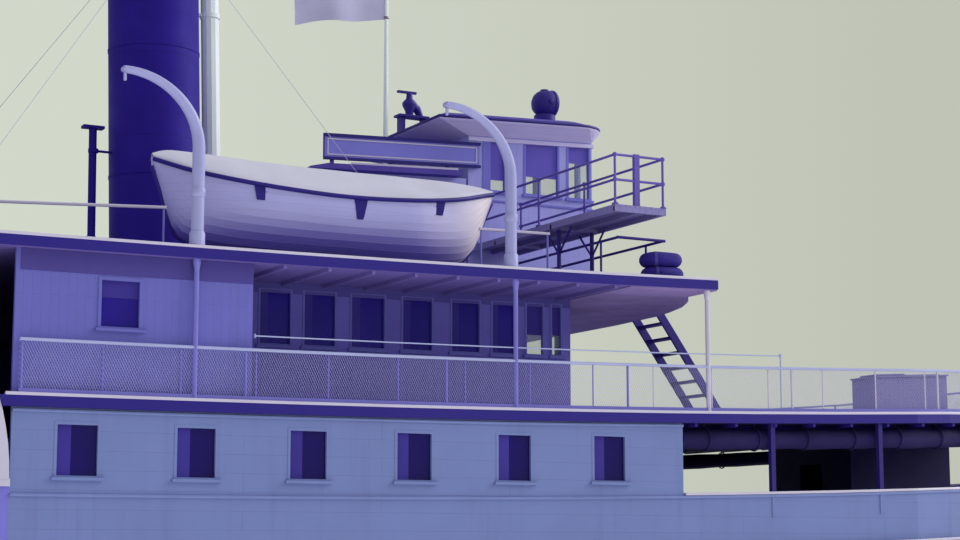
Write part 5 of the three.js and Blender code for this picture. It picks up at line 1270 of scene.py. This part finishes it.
def boat_half(beam, keel, gunwale):
    """Half a section from keel to gunwale, with the small step of each clinker strake."""
    half = [(0.035, keel)]
    for i in range(1, STRAKES + 1):
        rise = (i / STRAKES) ** 1.25
        out, z = max(0.035, beam * (1 - (1 - rise) ** 2.6) ** (1 / 2.6)), keel + (gunwale - keel) * rise
        half += [(out, z), (out - 0.008, z + 0.004)][:1 + (i < STRAKES)]
    return half


def mirrored(half):
    """A whole section from its half."""
    return half + [(-y, z) for y, z in half[::-1]]


print("a lifeboat is", 2 * BOAT_HALF, "m long")

# %% [markdown]
# The hull and its cover are lofted from the same lines. The cover could be simulated as cloth, but it
# is stretched hard over a ridge and rolled under the gunwale, so a shaped sheet with small sags between
# its battens is truer. Tabs hold it down, and chocks carry the keel.

# %% One lifeboat
def lifeboat(node, boat_x, centre):
    base = HURRICANE + sheer(boat_x) + BOAT_KEEL
    hull, wood, tabs, cover = forms(4)
    rings, cover_rings = [], []

    def lines(along):
        breadth, *heights = boat_row(along)
        return boat_x + along * BOAT_HALF, BOAT_HALF_BEAM * breadth, *[base + h for h in heights]

    for along in boat_places(41):
        x, beam, keel, gunwale, ridge = lines(along)
        over, low, high = beam + 0.012, gunwale - 0.02, ridge + 0.015
        sag = 0.02 * sin(along * 9.5) ** 2
        top = mirrored([(-over, low), (-over * 0.97, low + 0.05)] + [
            (-over * s, low + 0.05 + (high - low - 0.05) * (1 - s) ** 0.85 - sag * s * (1 - s) * 4)
            for s in (0.8, 0.6, 0.4, 0.2, 0.05)])
        under = [(y * 0.992, z - 0.012) for y, z in top[::-1]]
        rings.append([(x, centre + y, z) for y, z in mirrored(boat_half(beam, keel, gunwale))])
        cover_rings.append([(x, centre + y, z) for y, z in top + under])
    hull.loft(rings)
    cover.loft(cover_rings)
    spine = [lines(along) for along in boat_places(31)]
    wood.tube([(x, centre, keel - 0.02) for x, _, keel, _, _ in spine], 0.045, 6)
    for way in (-1, 1):
        tabs.tube([(x, centre + way * (beam + 0.02), gunwale - 0.04) for x, beam, _, gunwale, _ in spine],
                  0.042, 8)
        for tab_x in (-1.69, 0.23, 1.9):
            x, beam, keel, gunwale, _ = lines(tab_x / BOAT_HALF)
            strip = [(y, z, 0.15 - 0.09 * (gunwale - z) / TAB_DEEP)
                     for y, z in boat_half(beam, keel, gunwale) if z > gunwale - TAB_DEEP]
            tabs.loft([[(x + w, centre + way * (y + out), z) for w, out in
                        ((-wide, 0.012), (wide, 0.012), (wide, 0.002), (-wide, 0.002))]
                       for y, z, wide in strip])
    for x in (boat_x - 0.42 * BOAT_HALF, boat_x + 0.42 * BOAT_HALF):
        foot = HURRICANE + sheer(x) + 0.001
        wood.box(x - 0.08, x + 0.08, centre - 0.4, centre + 0.4, foot, foot + 0.13)
        for y in (centre - 0.3, centre + 0.3):
            wood.box(x - 0.06, x + 0.06, y - 0.09, y + 0.09, foot + 0.12, base + 0.14)
    build(f"{node}_hull", hull, "boat", smooth=30, replaces=(node,))
    build(f"{node}_keel_and_chocks", wood, "dark", smooth=40)
    build(f"{node}_gunwale_and_tabs", tabs, "edge", smooth=50)
    sheet = build(f"{node}_cover", cover, "cover", smooth=50)

# %% [markdown]
# Two boats stand in chocks on each side. All four are alike, so one function makes them, and they ride
# on the ship.

# %% The four lifeboats
for place, boat_x, _ in BOATS:
    for name, side in SIDES:
        lifeboat(f"lifeboat_{place}_{name}", boat_x, side * BOAT_Y)

# %% [markdown]
# A davit is a tapered tube bent at the head, which swivels in a socket and carries one end of a boat.
# It has a band where the tube is joined and an eye at its tip. Its arm is a tube along a quarter bend,
# and each rides on its own body, so that it can swing.

# %% Davits
DAVIT_Y, DAVIT_REACH, DAVIT_RISE, DAVIT_BEND, DAVIT_R, BENDS = 8.6, 1.35, 3.0, 1.25, 0.11, 18
for place, letter, x in [(place, *davit) for place, _, davits in BOATS for davit in zip("ab", davits)]:
    for name, side in SIDES:
        node = f"davit_{place}_{letter}_{name}"
        foot = Vector((x, side * DAVIT_Y, HURRICANE + max(sheer(x - 0.13), sheer(x + 0.13)) + 0.002))
        arm = Form()
        bend = [foot + Vector((DAVIT_REACH * (cos(t) - 1), 0, DAVIT_RISE - DAVIT_BEND * (1 - sin(t))))
                for t in [pi / 2 * i / BENDS for i in range(BENDS + 1)]]
        arm.tube([foot + Vector((0, 0, 0.05))] + bend,
                 [DAVIT_R] + [DAVIT_R * (1 - 0.4 * i / BENDS) for i in range(BENDS + 1)], 16)
        arm.turned([(0.135, 0.0), (0.135, 0.27), (0.12, 0.3), (0.1, 0.3)], foot, sides=20)
        arm.turned([(0.11, 0.9), (0.128, 0.92), (0.128, 1.04), (0.11, 1.06)], foot, sides=20)
        arm.turned([(0.03, -0.09), (0.055, -0.05), (0.055, 0.05), (0.03, 0.09)],
                   bend[-1] - Vector((0.01, 0, 0)), "y", 12)
        arm.turned([(0.02, -0.2), (0.03, -0.18), (0.03, -0.06)], bend[-1], sides=10)
        build(f"{node}_arm", arm, "davit", body=node, smooth=45, replaces=(node,))

# %% [markdown]
# The flag flies aft from its staff in a light wind. A cloth simulation would do, but its result is hard
# to steer. Here two waves run through a thin sheet and grow towards the free end, whose corners hang a
# little.

# %% Flag
FLAG_X, FLAG_LENGTH, FLAG_FOOT, FLAG_HEAD, STAFF_X, STAFF_TOP = 11.9, 2.26, 16.1, 17.6, 11.94, 18.2
cloth, truck = forms(2)
rings = []
for share in [i / 32 for i in range(33)]:
    low, high = FLAG_FOOT - 0.36 * share, FLAG_HEAD - 0.3 * share
    wave = 0.16 * share ** 0.7 * sin(share * 8.5)
    rows = [(FLAG_X - FLAG_LENGTH * share * 0.985, wave + 0.05 * share * sin(up * 4 + share * 11),
             low + (high - low) * up + 0.05 * share * sin(share * 9 + 1.3) * (1 - up))
            for up in [j / 16 for j in range(17)]]
    rings.append(rows + [(x, y + 0.008, z) for x, y, z in rows[::-1]])
cloth.loft(rings)
flag_sheet = build("flag_cloth", cloth, "bunting", smooth=70, replaces=("flag",))
truck.turned([(0.036, 0), (0.075, 0.02), (0.09, 0.07), (0.075, 0.12), (0.01, 0.14)],
             (STAFF_X, 0, STAFF_TOP), sides=20)
for z in (16.15, 17.5):
    truck.turned([(0.048, -0.03), (0.06, -0.02), (0.06, 0.02), (0.048, 0.03)], (STAFF_X, 0, z), sides=16)
build("flagstaff_truck", truck, "brass", smooth=50)

# %% [markdown]
# The hull is long and slim, far narrower than the decks that overhang it. Its sections change from full
# amidships to sharp at the ends. Blending two sections by one number gives every one between.

# %% Lines of the hull
HULL_HALF, DEPTH, BOOT_TOP, FULL_HALF, FORE_REACH, AFT_REACH = 4.875, 3.55, 2.42, 6, 33.6, 34.6
RISES, FULL, FINE = (0, 0.1, 0.28, 0.6, 1), (0.72, 0.9, 0.99, 1, 1), (0.05, 0.16, 0.34, 0.66, 1)
STERNPOST, COUNTER, COUNTER_FOOT, STEM = -30.6, -32.9, 2.55, 33.3


def hull_breadth(x):
    reach, power = (FORE_REACH, 2) if x > 0 else (AFT_REACH, 2.6)
    return HULL_HALF * (1 - max(0, (abs(x) - FULL_HALF) / (reach - FULL_HALF)) ** power)


def hull_ends(x):
    """Height of the foot and of the top of a section."""
    foot = COUNTER_FOOT + 0.4 * (STERNPOST - x) / 2.3 if x < STERNPOST else max(0, x - 30.5) ** 2 * 0.16
    return foot, DEPTH - 0.001 + sheer(x)


def hull_point(x, share):
    """Half-breadth and height at a share of the height."""
    fine = min(max((abs(x) - 8) / 22, 0), 1) ** 1.3
    wide = [max(0.1, hull_breadth(x) * (a * (1 - fine) + b * fine)) for a, b in zip(FULL, FINE)]
    foot, top = hull_ends(x)
    return float(np.interp(share, RISES, wide)), foot + (top - foot) * share


print("the hull is", 2 * hull_breadth(0), "m wide")

# %% [markdown]
# The planking is drawn with more sections than the solid, so that it looks smooth. It is white above
# the waterline and red lead below, in two pieces, so that the border between the paints is sharp. Two
# rubbing strakes and an iron stem take the knocks.

# %% Hull
hull_places = sorted({STERNPOST, STERNPOST - 0.04, COUNTER, STEM, *np.arange(-32.5, 33.2, 0.5).tolist(),
                      *frames(-32.8, 33.2)})
topsides, bottom, strakes = forms(3)
top_rings, bottom_rings = [], []
for x in hull_places:
    foot, top = hull_ends(x)
    line = min(max((BOOT_TOP - foot) / (top - foot), 0.0), 0.98)
    upper = mirrored([hull_point(x, line + (1 - line) * k / 5) for k in range(6)])
    top_rings.append([(x, y, z) for y, z in upper])
    if line > 0:
        lower = mirrored([hull_point(x, line * (k / 12) ** 1.3) for k in range(13)])
        bottom_rings.append([(x, y, z) for y, z in lower])
topsides.loft(top_rings)
bottom.loft(bottom_rings)
bottom.box(-31.3, -30.3, -0.12, 0.12, 0, 0.22)
for _, side in SIDES:
    for share in (0.78, 0.93):
        points = [(x, *hull_point(x, share)) for x in hull_places if -30 < x < 33]
        strakes.tube([(x, side * (y + 0.02), z) for x, y, z in points], 0.035, 6)
strakes.tube([(33.12, 0, 0.9), (33.32, 0, 1.9), (33.34, 0, 3.0), (33.36, 0, DEPTH + sheer(STEM))], 0.06, 8)
build("hull_topsides", topsides, "hull", smooth=35, replaces=("hull",))
build("hull_bottom", bottom, "wheel", smooth=35)
build("hull_strakes", strakes, "hull", smooth=50)

# %% [markdown]
# Cap rails finish the bulwarks at bow and stern, so that their edges don't splinter. They are one more
# strip with a rounded outer edge.

# %% Cap rails
CAP = [(-0.1, 0.0), (0.03, 0.0), (0.045, 0.02), (0.03, 0.05), (-0.1, 0.05)]
caps = Form()
for _, side in SIDES:
    for x0, x1 in ((HOUSE_FRONT + 0.04, BOW_LINE), (STERN_LINE, HOUSE_BACK - 0.05)):
        run(caps, side, frames(x0, x1), wall, CAP, MOULDING + 0.001)
build("bulwark_cap_rails", caps, "trim")

# %% [markdown]
# The companion is the hood over the stairs at the fore end of the promenade deck, with a sliding lid on
# two runners. Plain boxes are enough, but they stand on a sloping deck, so a square that follows the
# slope places them.

# %% Companion
HOOD_X0, HOOD_X1, HOOD_Y, HOOD_HIGH = 25.8, 28.2, 0.45, 1.37
hood, hood_trim = forms(2)


def hood_place(a, o, z):
    share = (a - HOOD_X0) / (HOOD_X1 - HOOD_X0)
    return a, o, PROMENADE + sheer(HOOD_X0) + (sheer(HOOD_X1) - sheer(HOOD_X0)) * share + z


for form, out, z0, z1 in ((hood, 0.012, 0.012, HOOD_HIGH + 0.012), (hood_trim, 0.03, 0.002, 0.1),
                          (hood_trim, 0.05, HOOD_HIGH + 0.012, HOOD_HIGH + 0.05)):
    form.box(HOOD_X0 - out, HOOD_X1 + out, -HOOD_Y - out, HOOD_Y + out, z0, z1, hood_place)
for _, side in SIDES:
    hood_trim.box(HOOD_X0 + 0.1, HOOD_X1 - 0.1, side * 0.25, side * 0.3, HOOD_HIGH + 0.05,
                  HOOD_HIGH + 0.08, hood_place)
hood_trim.box(HOOD_X0 + 0.15, HOOD_X0 + 1.1, -0.32, 0.32, HOOD_HIGH + 0.08, HOOD_HIGH + 0.11, hood_place)
build("companion_hood", hood, "hood")
build("companion_trim", hood_trim, "hood")

# %% [markdown]
# A paddle box covers a wheel, and its face is bounded by arches about the wheel's shaft. A ring could
# be cut with a boolean, but a section led round an arc gives clean faces, and the same function makes
# arches, ribs and vents.

# %% Paddle boxes
BOX_IN, BOX_OUT = 5.15, 8.67


def arch(form, side, r0, r1, o0, o1, start=0, end=180, steps=48):
    """A strip bent about the wheel's axis, from one angle to another."""
    rings = []
    for t in [radians(start + (end - start) * k / steps) for k in range(steps + 1)]:
        rings.append([(BOX_X + r * cos(t), side * (BOX_OUT + o), BOX_Z + r * sin(t))
                      for r, o in ((r0, o0), (r0, o1), (r1, o1), (r1, o0))])
    form.loft(rings)


print("a paddle box has a radius of", BOX_R)

# %% [markdown]
# The paddle box is the ship's showpiece: ribs spread from a half-round hub, with dark vents between
# them. Each rib is a very short arch, so it widens outwards as carved ribs do.

# %% Sunburst of the paddle boxes
for name, side in SIDES:
    ribs, vents, top = forms(3)
    for r0, r1, proud in ((4.18, 4.38, 0.06), (3.98, 4.06, 0.04), (0.95, 1.1, 0.05), (0.1, 0.3, 0.06)):
        arch(ribs, side, r0, r1, 0.001, proud)
    for k in range(17):
        angle = 180 * k / 16
        arch(ribs, side, 1.1, 3.98, 0.001, 0.035, angle - 0.9, angle + 0.9, 2)
        for r0 in (1.5, 2.3, 3.1) if k < 16 else ():
            arch(vents, side, r0, r0 + 0.6, 0.001, 0.006, angle + 3.2, angle + 8.05, 4)
    ribs.box(BOX_X - BOX_R, BOX_X + BOX_R, side * (BOX_OUT + 0.001), side * (BOX_OUT + 0.05),
             BOX_Z - 0.12, BOX_Z)
    arch(top, side, BOX_R + 0.006, BOX_R + 0.022, BOX_IN - BOX_OUT, -0.002, 66, 114, 24)
    build(f"paddle_box_sunburst_{name}", ribs, "trim")
    build(f"paddle_box_vents_{name}", vents, "edge")
    build(f"paddle_box_top_{name}", top, "wing", smooth=50)

# %% [markdown]
# Iron hoops bind the arms of a paddle wheel, a flange holds them at the hub, and bolts clamp the
# floats. They ride on the wheels' body, because they turn with it. Bolt heads are turned with six
# sides, which makes them hexagons.

# %% Wheel fittings
WHEEL_ARMS, WHEEL_FACES = 12, ((5.67, -1), (5.83, 1), (7.92, -1), (8.08, 1))


def about_shaft(radius, t, y):
    return BOX_X + radius * cos(t), y, BOX_Z + radius * sin(t)


def hoop(form, r0, r1, y0, y1, steps):
    """A flat ring about the shaft."""
    form.loft([[about_shaft(r, t, y) for r, y in ((r0, y0), (r1, y0), (r1, y1), (r0, y1))]
               for t in angles(steps, True)], ends=False)


for name, side in SIDES:
    irons = Form()
    for face, out in WHEEL_FACES:
        y0, y1 = side * (face + out * 0.001), side * (face + out * 0.014)
        hoop(irons, 3.16, 3.3, y0, y1, 72)
        hoop(irons, 0.5, 0.72, y0, y1, 36)
        for t in angles(WHEEL_ARMS):
            for radius, turn in ((0.61, 0), (3.23, 0), (3.23, pi / WHEEL_ARMS)):
                irons.turned([(0.045, 0), (0.045, side * out * 0.02), (0.02, side * out * 0.028)],
                             about_shaft(radius, t + turn, y1), "y", 6)
    build(f"paddle_wheel_irons_{name}", irons, "iron", body="paddle_wheels")

# %% [markdown]
# The walking beam is an iron diamond that rocks over the deck. The flange round its rim is what gives
# it depth, so each of its four edges gets a bar. A strap crosses its middle, and caps close its pins.

# %% Walking beam
BEAM_X, BEAM_Z, BEAM_ARM, BEAM_TIP, BEAM_RISE = -6.5, 12.6, 3.3, 3.58, 1.05
flange = Form()
for end in (-1, 1):
    for up in (-1, 1):
        tip, crest = Vector((end * BEAM_TIP, up * 0.22)), Vector((0, up * BEAM_RISE))
        way = (crest - tip).normalized()
        out = Vector((way.y, -way.x)) * end * up
        flange.loft([[(BEAM_X + p.x + out.x * o, y, BEAM_Z + p.y + out.y * o)
                      for y, o in ((-0.19, -0.05), (0.19, -0.05), (0.19, 0.03), (-0.19, 0.03))]
                     for p in (tip, crest)])
for _, side in SIDES:
    flange.box(BEAM_X - 0.16, BEAM_X + 0.16, side * 0.161, side * 0.19, BEAM_Z - 0.95, BEAM_Z + 0.95)
    flange.turned([(0.15, side * 0.862), (0.13, side * 0.9), (0.02, side * 0.91)], (BEAM_X, 0, BEAM_Z),
                  "y", 20)
    for x in (BEAM_X - BEAM_ARM, BEAM_X + BEAM_ARM):
        flange.turned([(0.1, side * 0.43), (0.1, side * 0.46), (0.02, side * 0.47)], (x, 0, BEAM_Z), "y", 6)
build("walking_beam_flange", flange, "iron", body="walking_beam")

# %% [markdown]
# The foredeck carries the gear for mooring: a capstan, pairs of bitts, the boarded hatch and the jack
# staff. Castings are turned from one profile each, and the hatch is laid board by board.

# %% Foredeck fittings
CAPSTAN_X, BITTS, BITT_APART = 29.5, ((31.0, 0.75), (27.8, 4.5), (-31.2, 3.2)), 0.25
HATCH_BACK, HATCH_FRONT, HATCH_Y, HATCH_TOP, HATCH_BOARDS, BOARD_PITCH = 18.56, 21.44, 1.28, 4.26, 9, 0.306
STAFFS = ((32.3, 10.6, MAIN), (-32.2, 11.6, PROMENADE))
gear, wood, staff = forms(3)
gear.turned([(0.42, 0.001), (0.42, 0.08), (0.3, 0.12), (0.22, 0.3), (0.2, 0.5), (0.26, 0.72), (0.34, 0.8),
             (0.34, 0.95), (0.28, 1.0), (0.02, 1.02)], (CAPSTAN_X, 0, MAIN + sheer(CAPSTAN_X)))
for x, y in BITTS:
    base = MAIN + sheer(x)
    for y in (y, -y):
        gear.box(x - 0.45, x + 0.45, y - 0.14, y + 0.14, base + 0.03, base + 0.09)
        for bitt_x in (x - BITT_APART, x + BITT_APART):
            gear.turned([(0.1, 0.02), (0.1, 0.42), (0.14, 0.44), (0.14, 0.52), (0.02, 0.53)],
                        (bitt_x, y, base), sides=16)
for x in [HATCH_BACK + 0.08 + BOARD_PITCH * i for i in range(HATCH_BOARDS)]:
    wood.box(x, x + 0.29, -HATCH_Y, HATCH_Y, HATCH_TOP - 0.028, HATCH_TOP)
for y in (-1.36, 1.305):
    wood.box(HATCH_BACK, HATCH_FRONT, y, y + 0.055, 4.0, HATCH_TOP - 0.02)
for x, top, deck in STAFFS:
    base = deck + sheer(x) + 0.002
    staff.tube([(x, 0, base), (x, 0, top)], [0.07, 0.035], 12)
    staff.turned([(0.04, 0), (0.09, 0.04), (0.09, 0.1), (0.02, 0.14)], (x, 0, top), sides=16)
    staff.turned([(0.13, 0), (0.13, 0.04), (0.08, 0.14)], (x, 0, base), sides=16)
build("capstan_and_bitts", gear, "dark", smooth=40)
build("hatch_boards", wood, "door")
build("jack_and_ensign_staffs", staff, "rail", smooth=40)

# %% [markdown]
# Doors close the cabins: leaves with raised panels and brass knobs. Panels could be a bump in the
# varnish, but raised boxes catch the light at the edges, and a table of doors keeps them short.

# %% Doors
CROSS_DOORS = ((SALOON_FRONT, 1, 0, 1.5, PROMENADE, 2.15), (SALOON_BACK, -1, 0, 1.5, PROMENADE, 2.15),
               (HOUSE_FRONT - 0.08, 1, -3.6, 2.1, MAIN, 1.95), (HOUSE_FRONT - 0.08, 1, 3.6, 2.1, MAIN, 1.95),
               (HOUSE_BACK, -1, -3, 1.1, MAIN, 1.95), (HOUSE_BACK, -1, 3, 1.1, MAIN, 1.95))
doors, knobs = forms(2)
for x, out, y, width, deck, high in CROSS_DOORS:
    base, face = deck + sheer(x) + 0.02, x - out * 0.03
    for half in (-1, 1):
        y0, y1 = sorted((y + half * 0.01, y + half * width / 2))
        doors.box(face, face - out * 0.04, y0, y1, base, base + high - 0.03)
        for z0, z1 in ((0.12, 0.85), (0.97, high - 0.2)):
            doors.box(face + out * 0.001, face + out * 0.012, y0 + 0.1, y1 - 0.1, base + z0, base + z1)
        knobs.turned([(0.02, 0.0), (0.02, out * 0.04), (0.04, out * 0.05), (0.01, out * 0.08)],
                     (face + out * 0.001, y + half * 0.08, base + 0.95), "x", 12)
base = HURRICANE + sheer(9.3)
doors.box(9.33, 9.349, -0.4, 0.4, base + 0.02, base + 2.1)
knobs.turned([(0.02, 0.0), (0.04, -0.05), (0.01, -0.08)], (9.329, 0.3, base + 1.0), "x", 12)
build("door_leaves", doors, "door")
build("door_knobs", knobs, "brass", smooth=50)

# %% [markdown]
# Iron rods brace the legs of the gallows crosswise, and shoes hold the legs on their sills. Raised
# frames keep rain out of the two slots in which the rods of the engine work. One function says where a
# leg is at any height, so the braces end on it.

# %% Gallows braces and slot frames
ROD_SLOTS, SLOT_Y = ((-4.05, -2.75), (-10.25, -8.95)), 0.46
braces, coamings = forms(2)


def gallows_leg(end, side, share):
    """The middle of a leg at a share of its height."""
    return BEAM_X + end * (2.1 - 1.85 * share), side * (1.5 - 0.88 * share), 8.98 + 3.52 * share


for _, side in SIDES:
    for end in (-1, 1):
        braces.tube([gallows_leg(end, side, 0.12), gallows_leg(-end, side, 0.62)], 0.03, 8)
        x, y, _ = gallows_leg(end, side, 0.06)
        braces.box(x - 0.26, x + 0.26, y - 0.19, y + 0.19, HURRICANE + 0.203, HURRICANE + 0.26)
        for place in [(x + dx, y + dy, HURRICANE + 0.26) for dx in (-0.2, 0.2) for dy in (-0.13, 0.13)]:
            braces.turned([(0.035, 0.0), (0.035, 0.03), (0.01, 0.04)], place, sides=6)
    braces.box(BEAM_X - 0.5, BEAM_X + 0.5, side * 0.801, side * 0.84, BEAM_Z + 0.17, BEAM_Z + 0.27)
    for x in (BEAM_X - 0.4, BEAM_X + 0.4):
        braces.turned([(0.05, side * 0.84), (0.05, side * 0.88)], (x, 0, BEAM_Z + 0.22), "y", 6)
for x0, x1 in ROD_SLOTS:
    for xa, xb, ya, yb in ((x0 - 0.09, x0 - 0.01, -SLOT_Y - 0.08, SLOT_Y + 0.08),
                           (x1 + 0.01, x1 + 0.09, -SLOT_Y - 0.08, SLOT_Y + 0.08),
                           (x0 - 0.01, x1 + 0.01, -SLOT_Y - 0.08, -SLOT_Y),
                           (x0 - 0.01, x1 + 0.01, SLOT_Y, SLOT_Y + 0.08)):
        coamings.box(xa, xb, ya, yb, HURRICANE + 0.002, HURRICANE + 0.2)
build("gallows_braces", braces, "iron")
build("rod_slot_frames", coamings, "frieze")

# %% [markdown]
# The skylight lets day into the engine room. It has glazed flaps on its lid and small lights along its
# sides. Panes and bars are separate pieces, because glass and paint need different finishes.

# %% Skylight
SKY_X0, SKY_X1, SKY_Y, SKY_TOP = 0.2, 3.2, 0.9, HURRICANE + 0.42
bars, lights = forms(2)


def over_lid(x, y, z):
    return x, y, SKY_TOP + z


for x in [SKY_X0 + 0.08 + i * 0.58 for i in range(5)]:
    for _, side in SIDES:
        lights.box(x, x + 0.46, side * 0.1, side * 0.8, 0.001, 0.012, over_lid)
        lights.box(x, x + 0.46, side * (SKY_Y + 0.001), side * (SKY_Y + 0.008), -0.3, -0.1, over_lid)
    bars.box(x - 0.08, x - 0.01, -0.88, 0.88, 0.001, 0.035, over_lid)
bars.box(SKY_X1 - 0.05, SKY_X1, -0.88, 0.88, 0.001, 0.035, over_lid)
for y0, y1 in ((-0.92, -0.84), (-0.05, 0.05), (0.84, 0.92)):
    bars.box(SKY_X0 - 0.02, SKY_X1 + 0.02, y0, y1, 0.036, 0.06, over_lid)
build("skylight_lights", lights, "glass")
build("skylight_bars", bars, "frieze")

# %% [markdown]
# Slatted benches stand on the after part of the promenade deck. They could be copies of one bench, but
# the deck slopes under them, so each is set at its own height and all share one light piece.

# %% Benches
BENCHES, BENCH_HALF = ((-27.3, 2.4), (-27.3, -2.4), (-29.4, 1.6), (-29.4, -1.6)), 1.2
benches = Form()
for x, y in BENCHES:
    base = PROMENADE + sheer(x) + 0.004
    for a in [x - 0.14 - 0.11 * i for i in range(4)]:
        benches.box(a, a + 0.08, y - BENCH_HALF, y + BENCH_HALF, base + 0.42, base + 0.45)
    for i in range(3):
        a, z = x + 0.005 + 0.02 * i, base + 0.55 + 0.13 * i
        benches.box(a, a + 0.03, y - BENCH_HALF, y + BENCH_HALF, z, z + 0.09)
    for leg_y in (y - 1.05, y, y + 1.05):
        benches.box(x - 0.5, x, leg_y - 0.025, leg_y + 0.025, base + 0.37, base + 0.419)
        for a in (x - 0.045, x - 0.465):
            benches.box(a, a + 0.05, leg_y - 0.025, leg_y + 0.025, base, base + 0.369)
        benches.tube([(x + 0.001, leg_y, base + 0.4), (x + 0.04, leg_y, base + 0.92)], 0.02, 6)
build("promenade_benches", benches, "door")

# %% [markdown]
# Inside the pilot house stands the steering wheel, low behind the sill of the front windows. A tube led
# round a circle makes its rim, and eight spokes run through it to the handles.

# %% Steering wheel
WHEEL_AT, WHEEL_R = Vector((15.7, 0, 11.55)), 0.42
wheel = Form()
wheel.tube([WHEEL_AT + Vector((0, WHEEL_R * cos(t), WHEEL_R * sin(t))) for t in angles(32, True)], 0.03, 8)
for way in [Vector((0, cos(t), sin(t))) for t in angles(8)]:
    wheel.tube([WHEEL_AT + way * 0.05, WHEEL_AT + way * 0.54], 0.018, 6)
wheel.turned([(0.09, -0.06), (0.09, 0.06)], WHEEL_AT, "x", 16)
wheel.tube([WHEEL_AT + Vector((-0.02, 0, 0)), WHEEL_AT + Vector((-0.35, 0, 0))], 0.05, 10)
build("steering_wheel", wheel, "door", smooth=40)

# %% [markdown]
# The box of the dressed model is printed, with the number of pieces made.

# %% Sizes
low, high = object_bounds()
print(len(made_pieces), "pieces; model reaches from", low, "to", high)
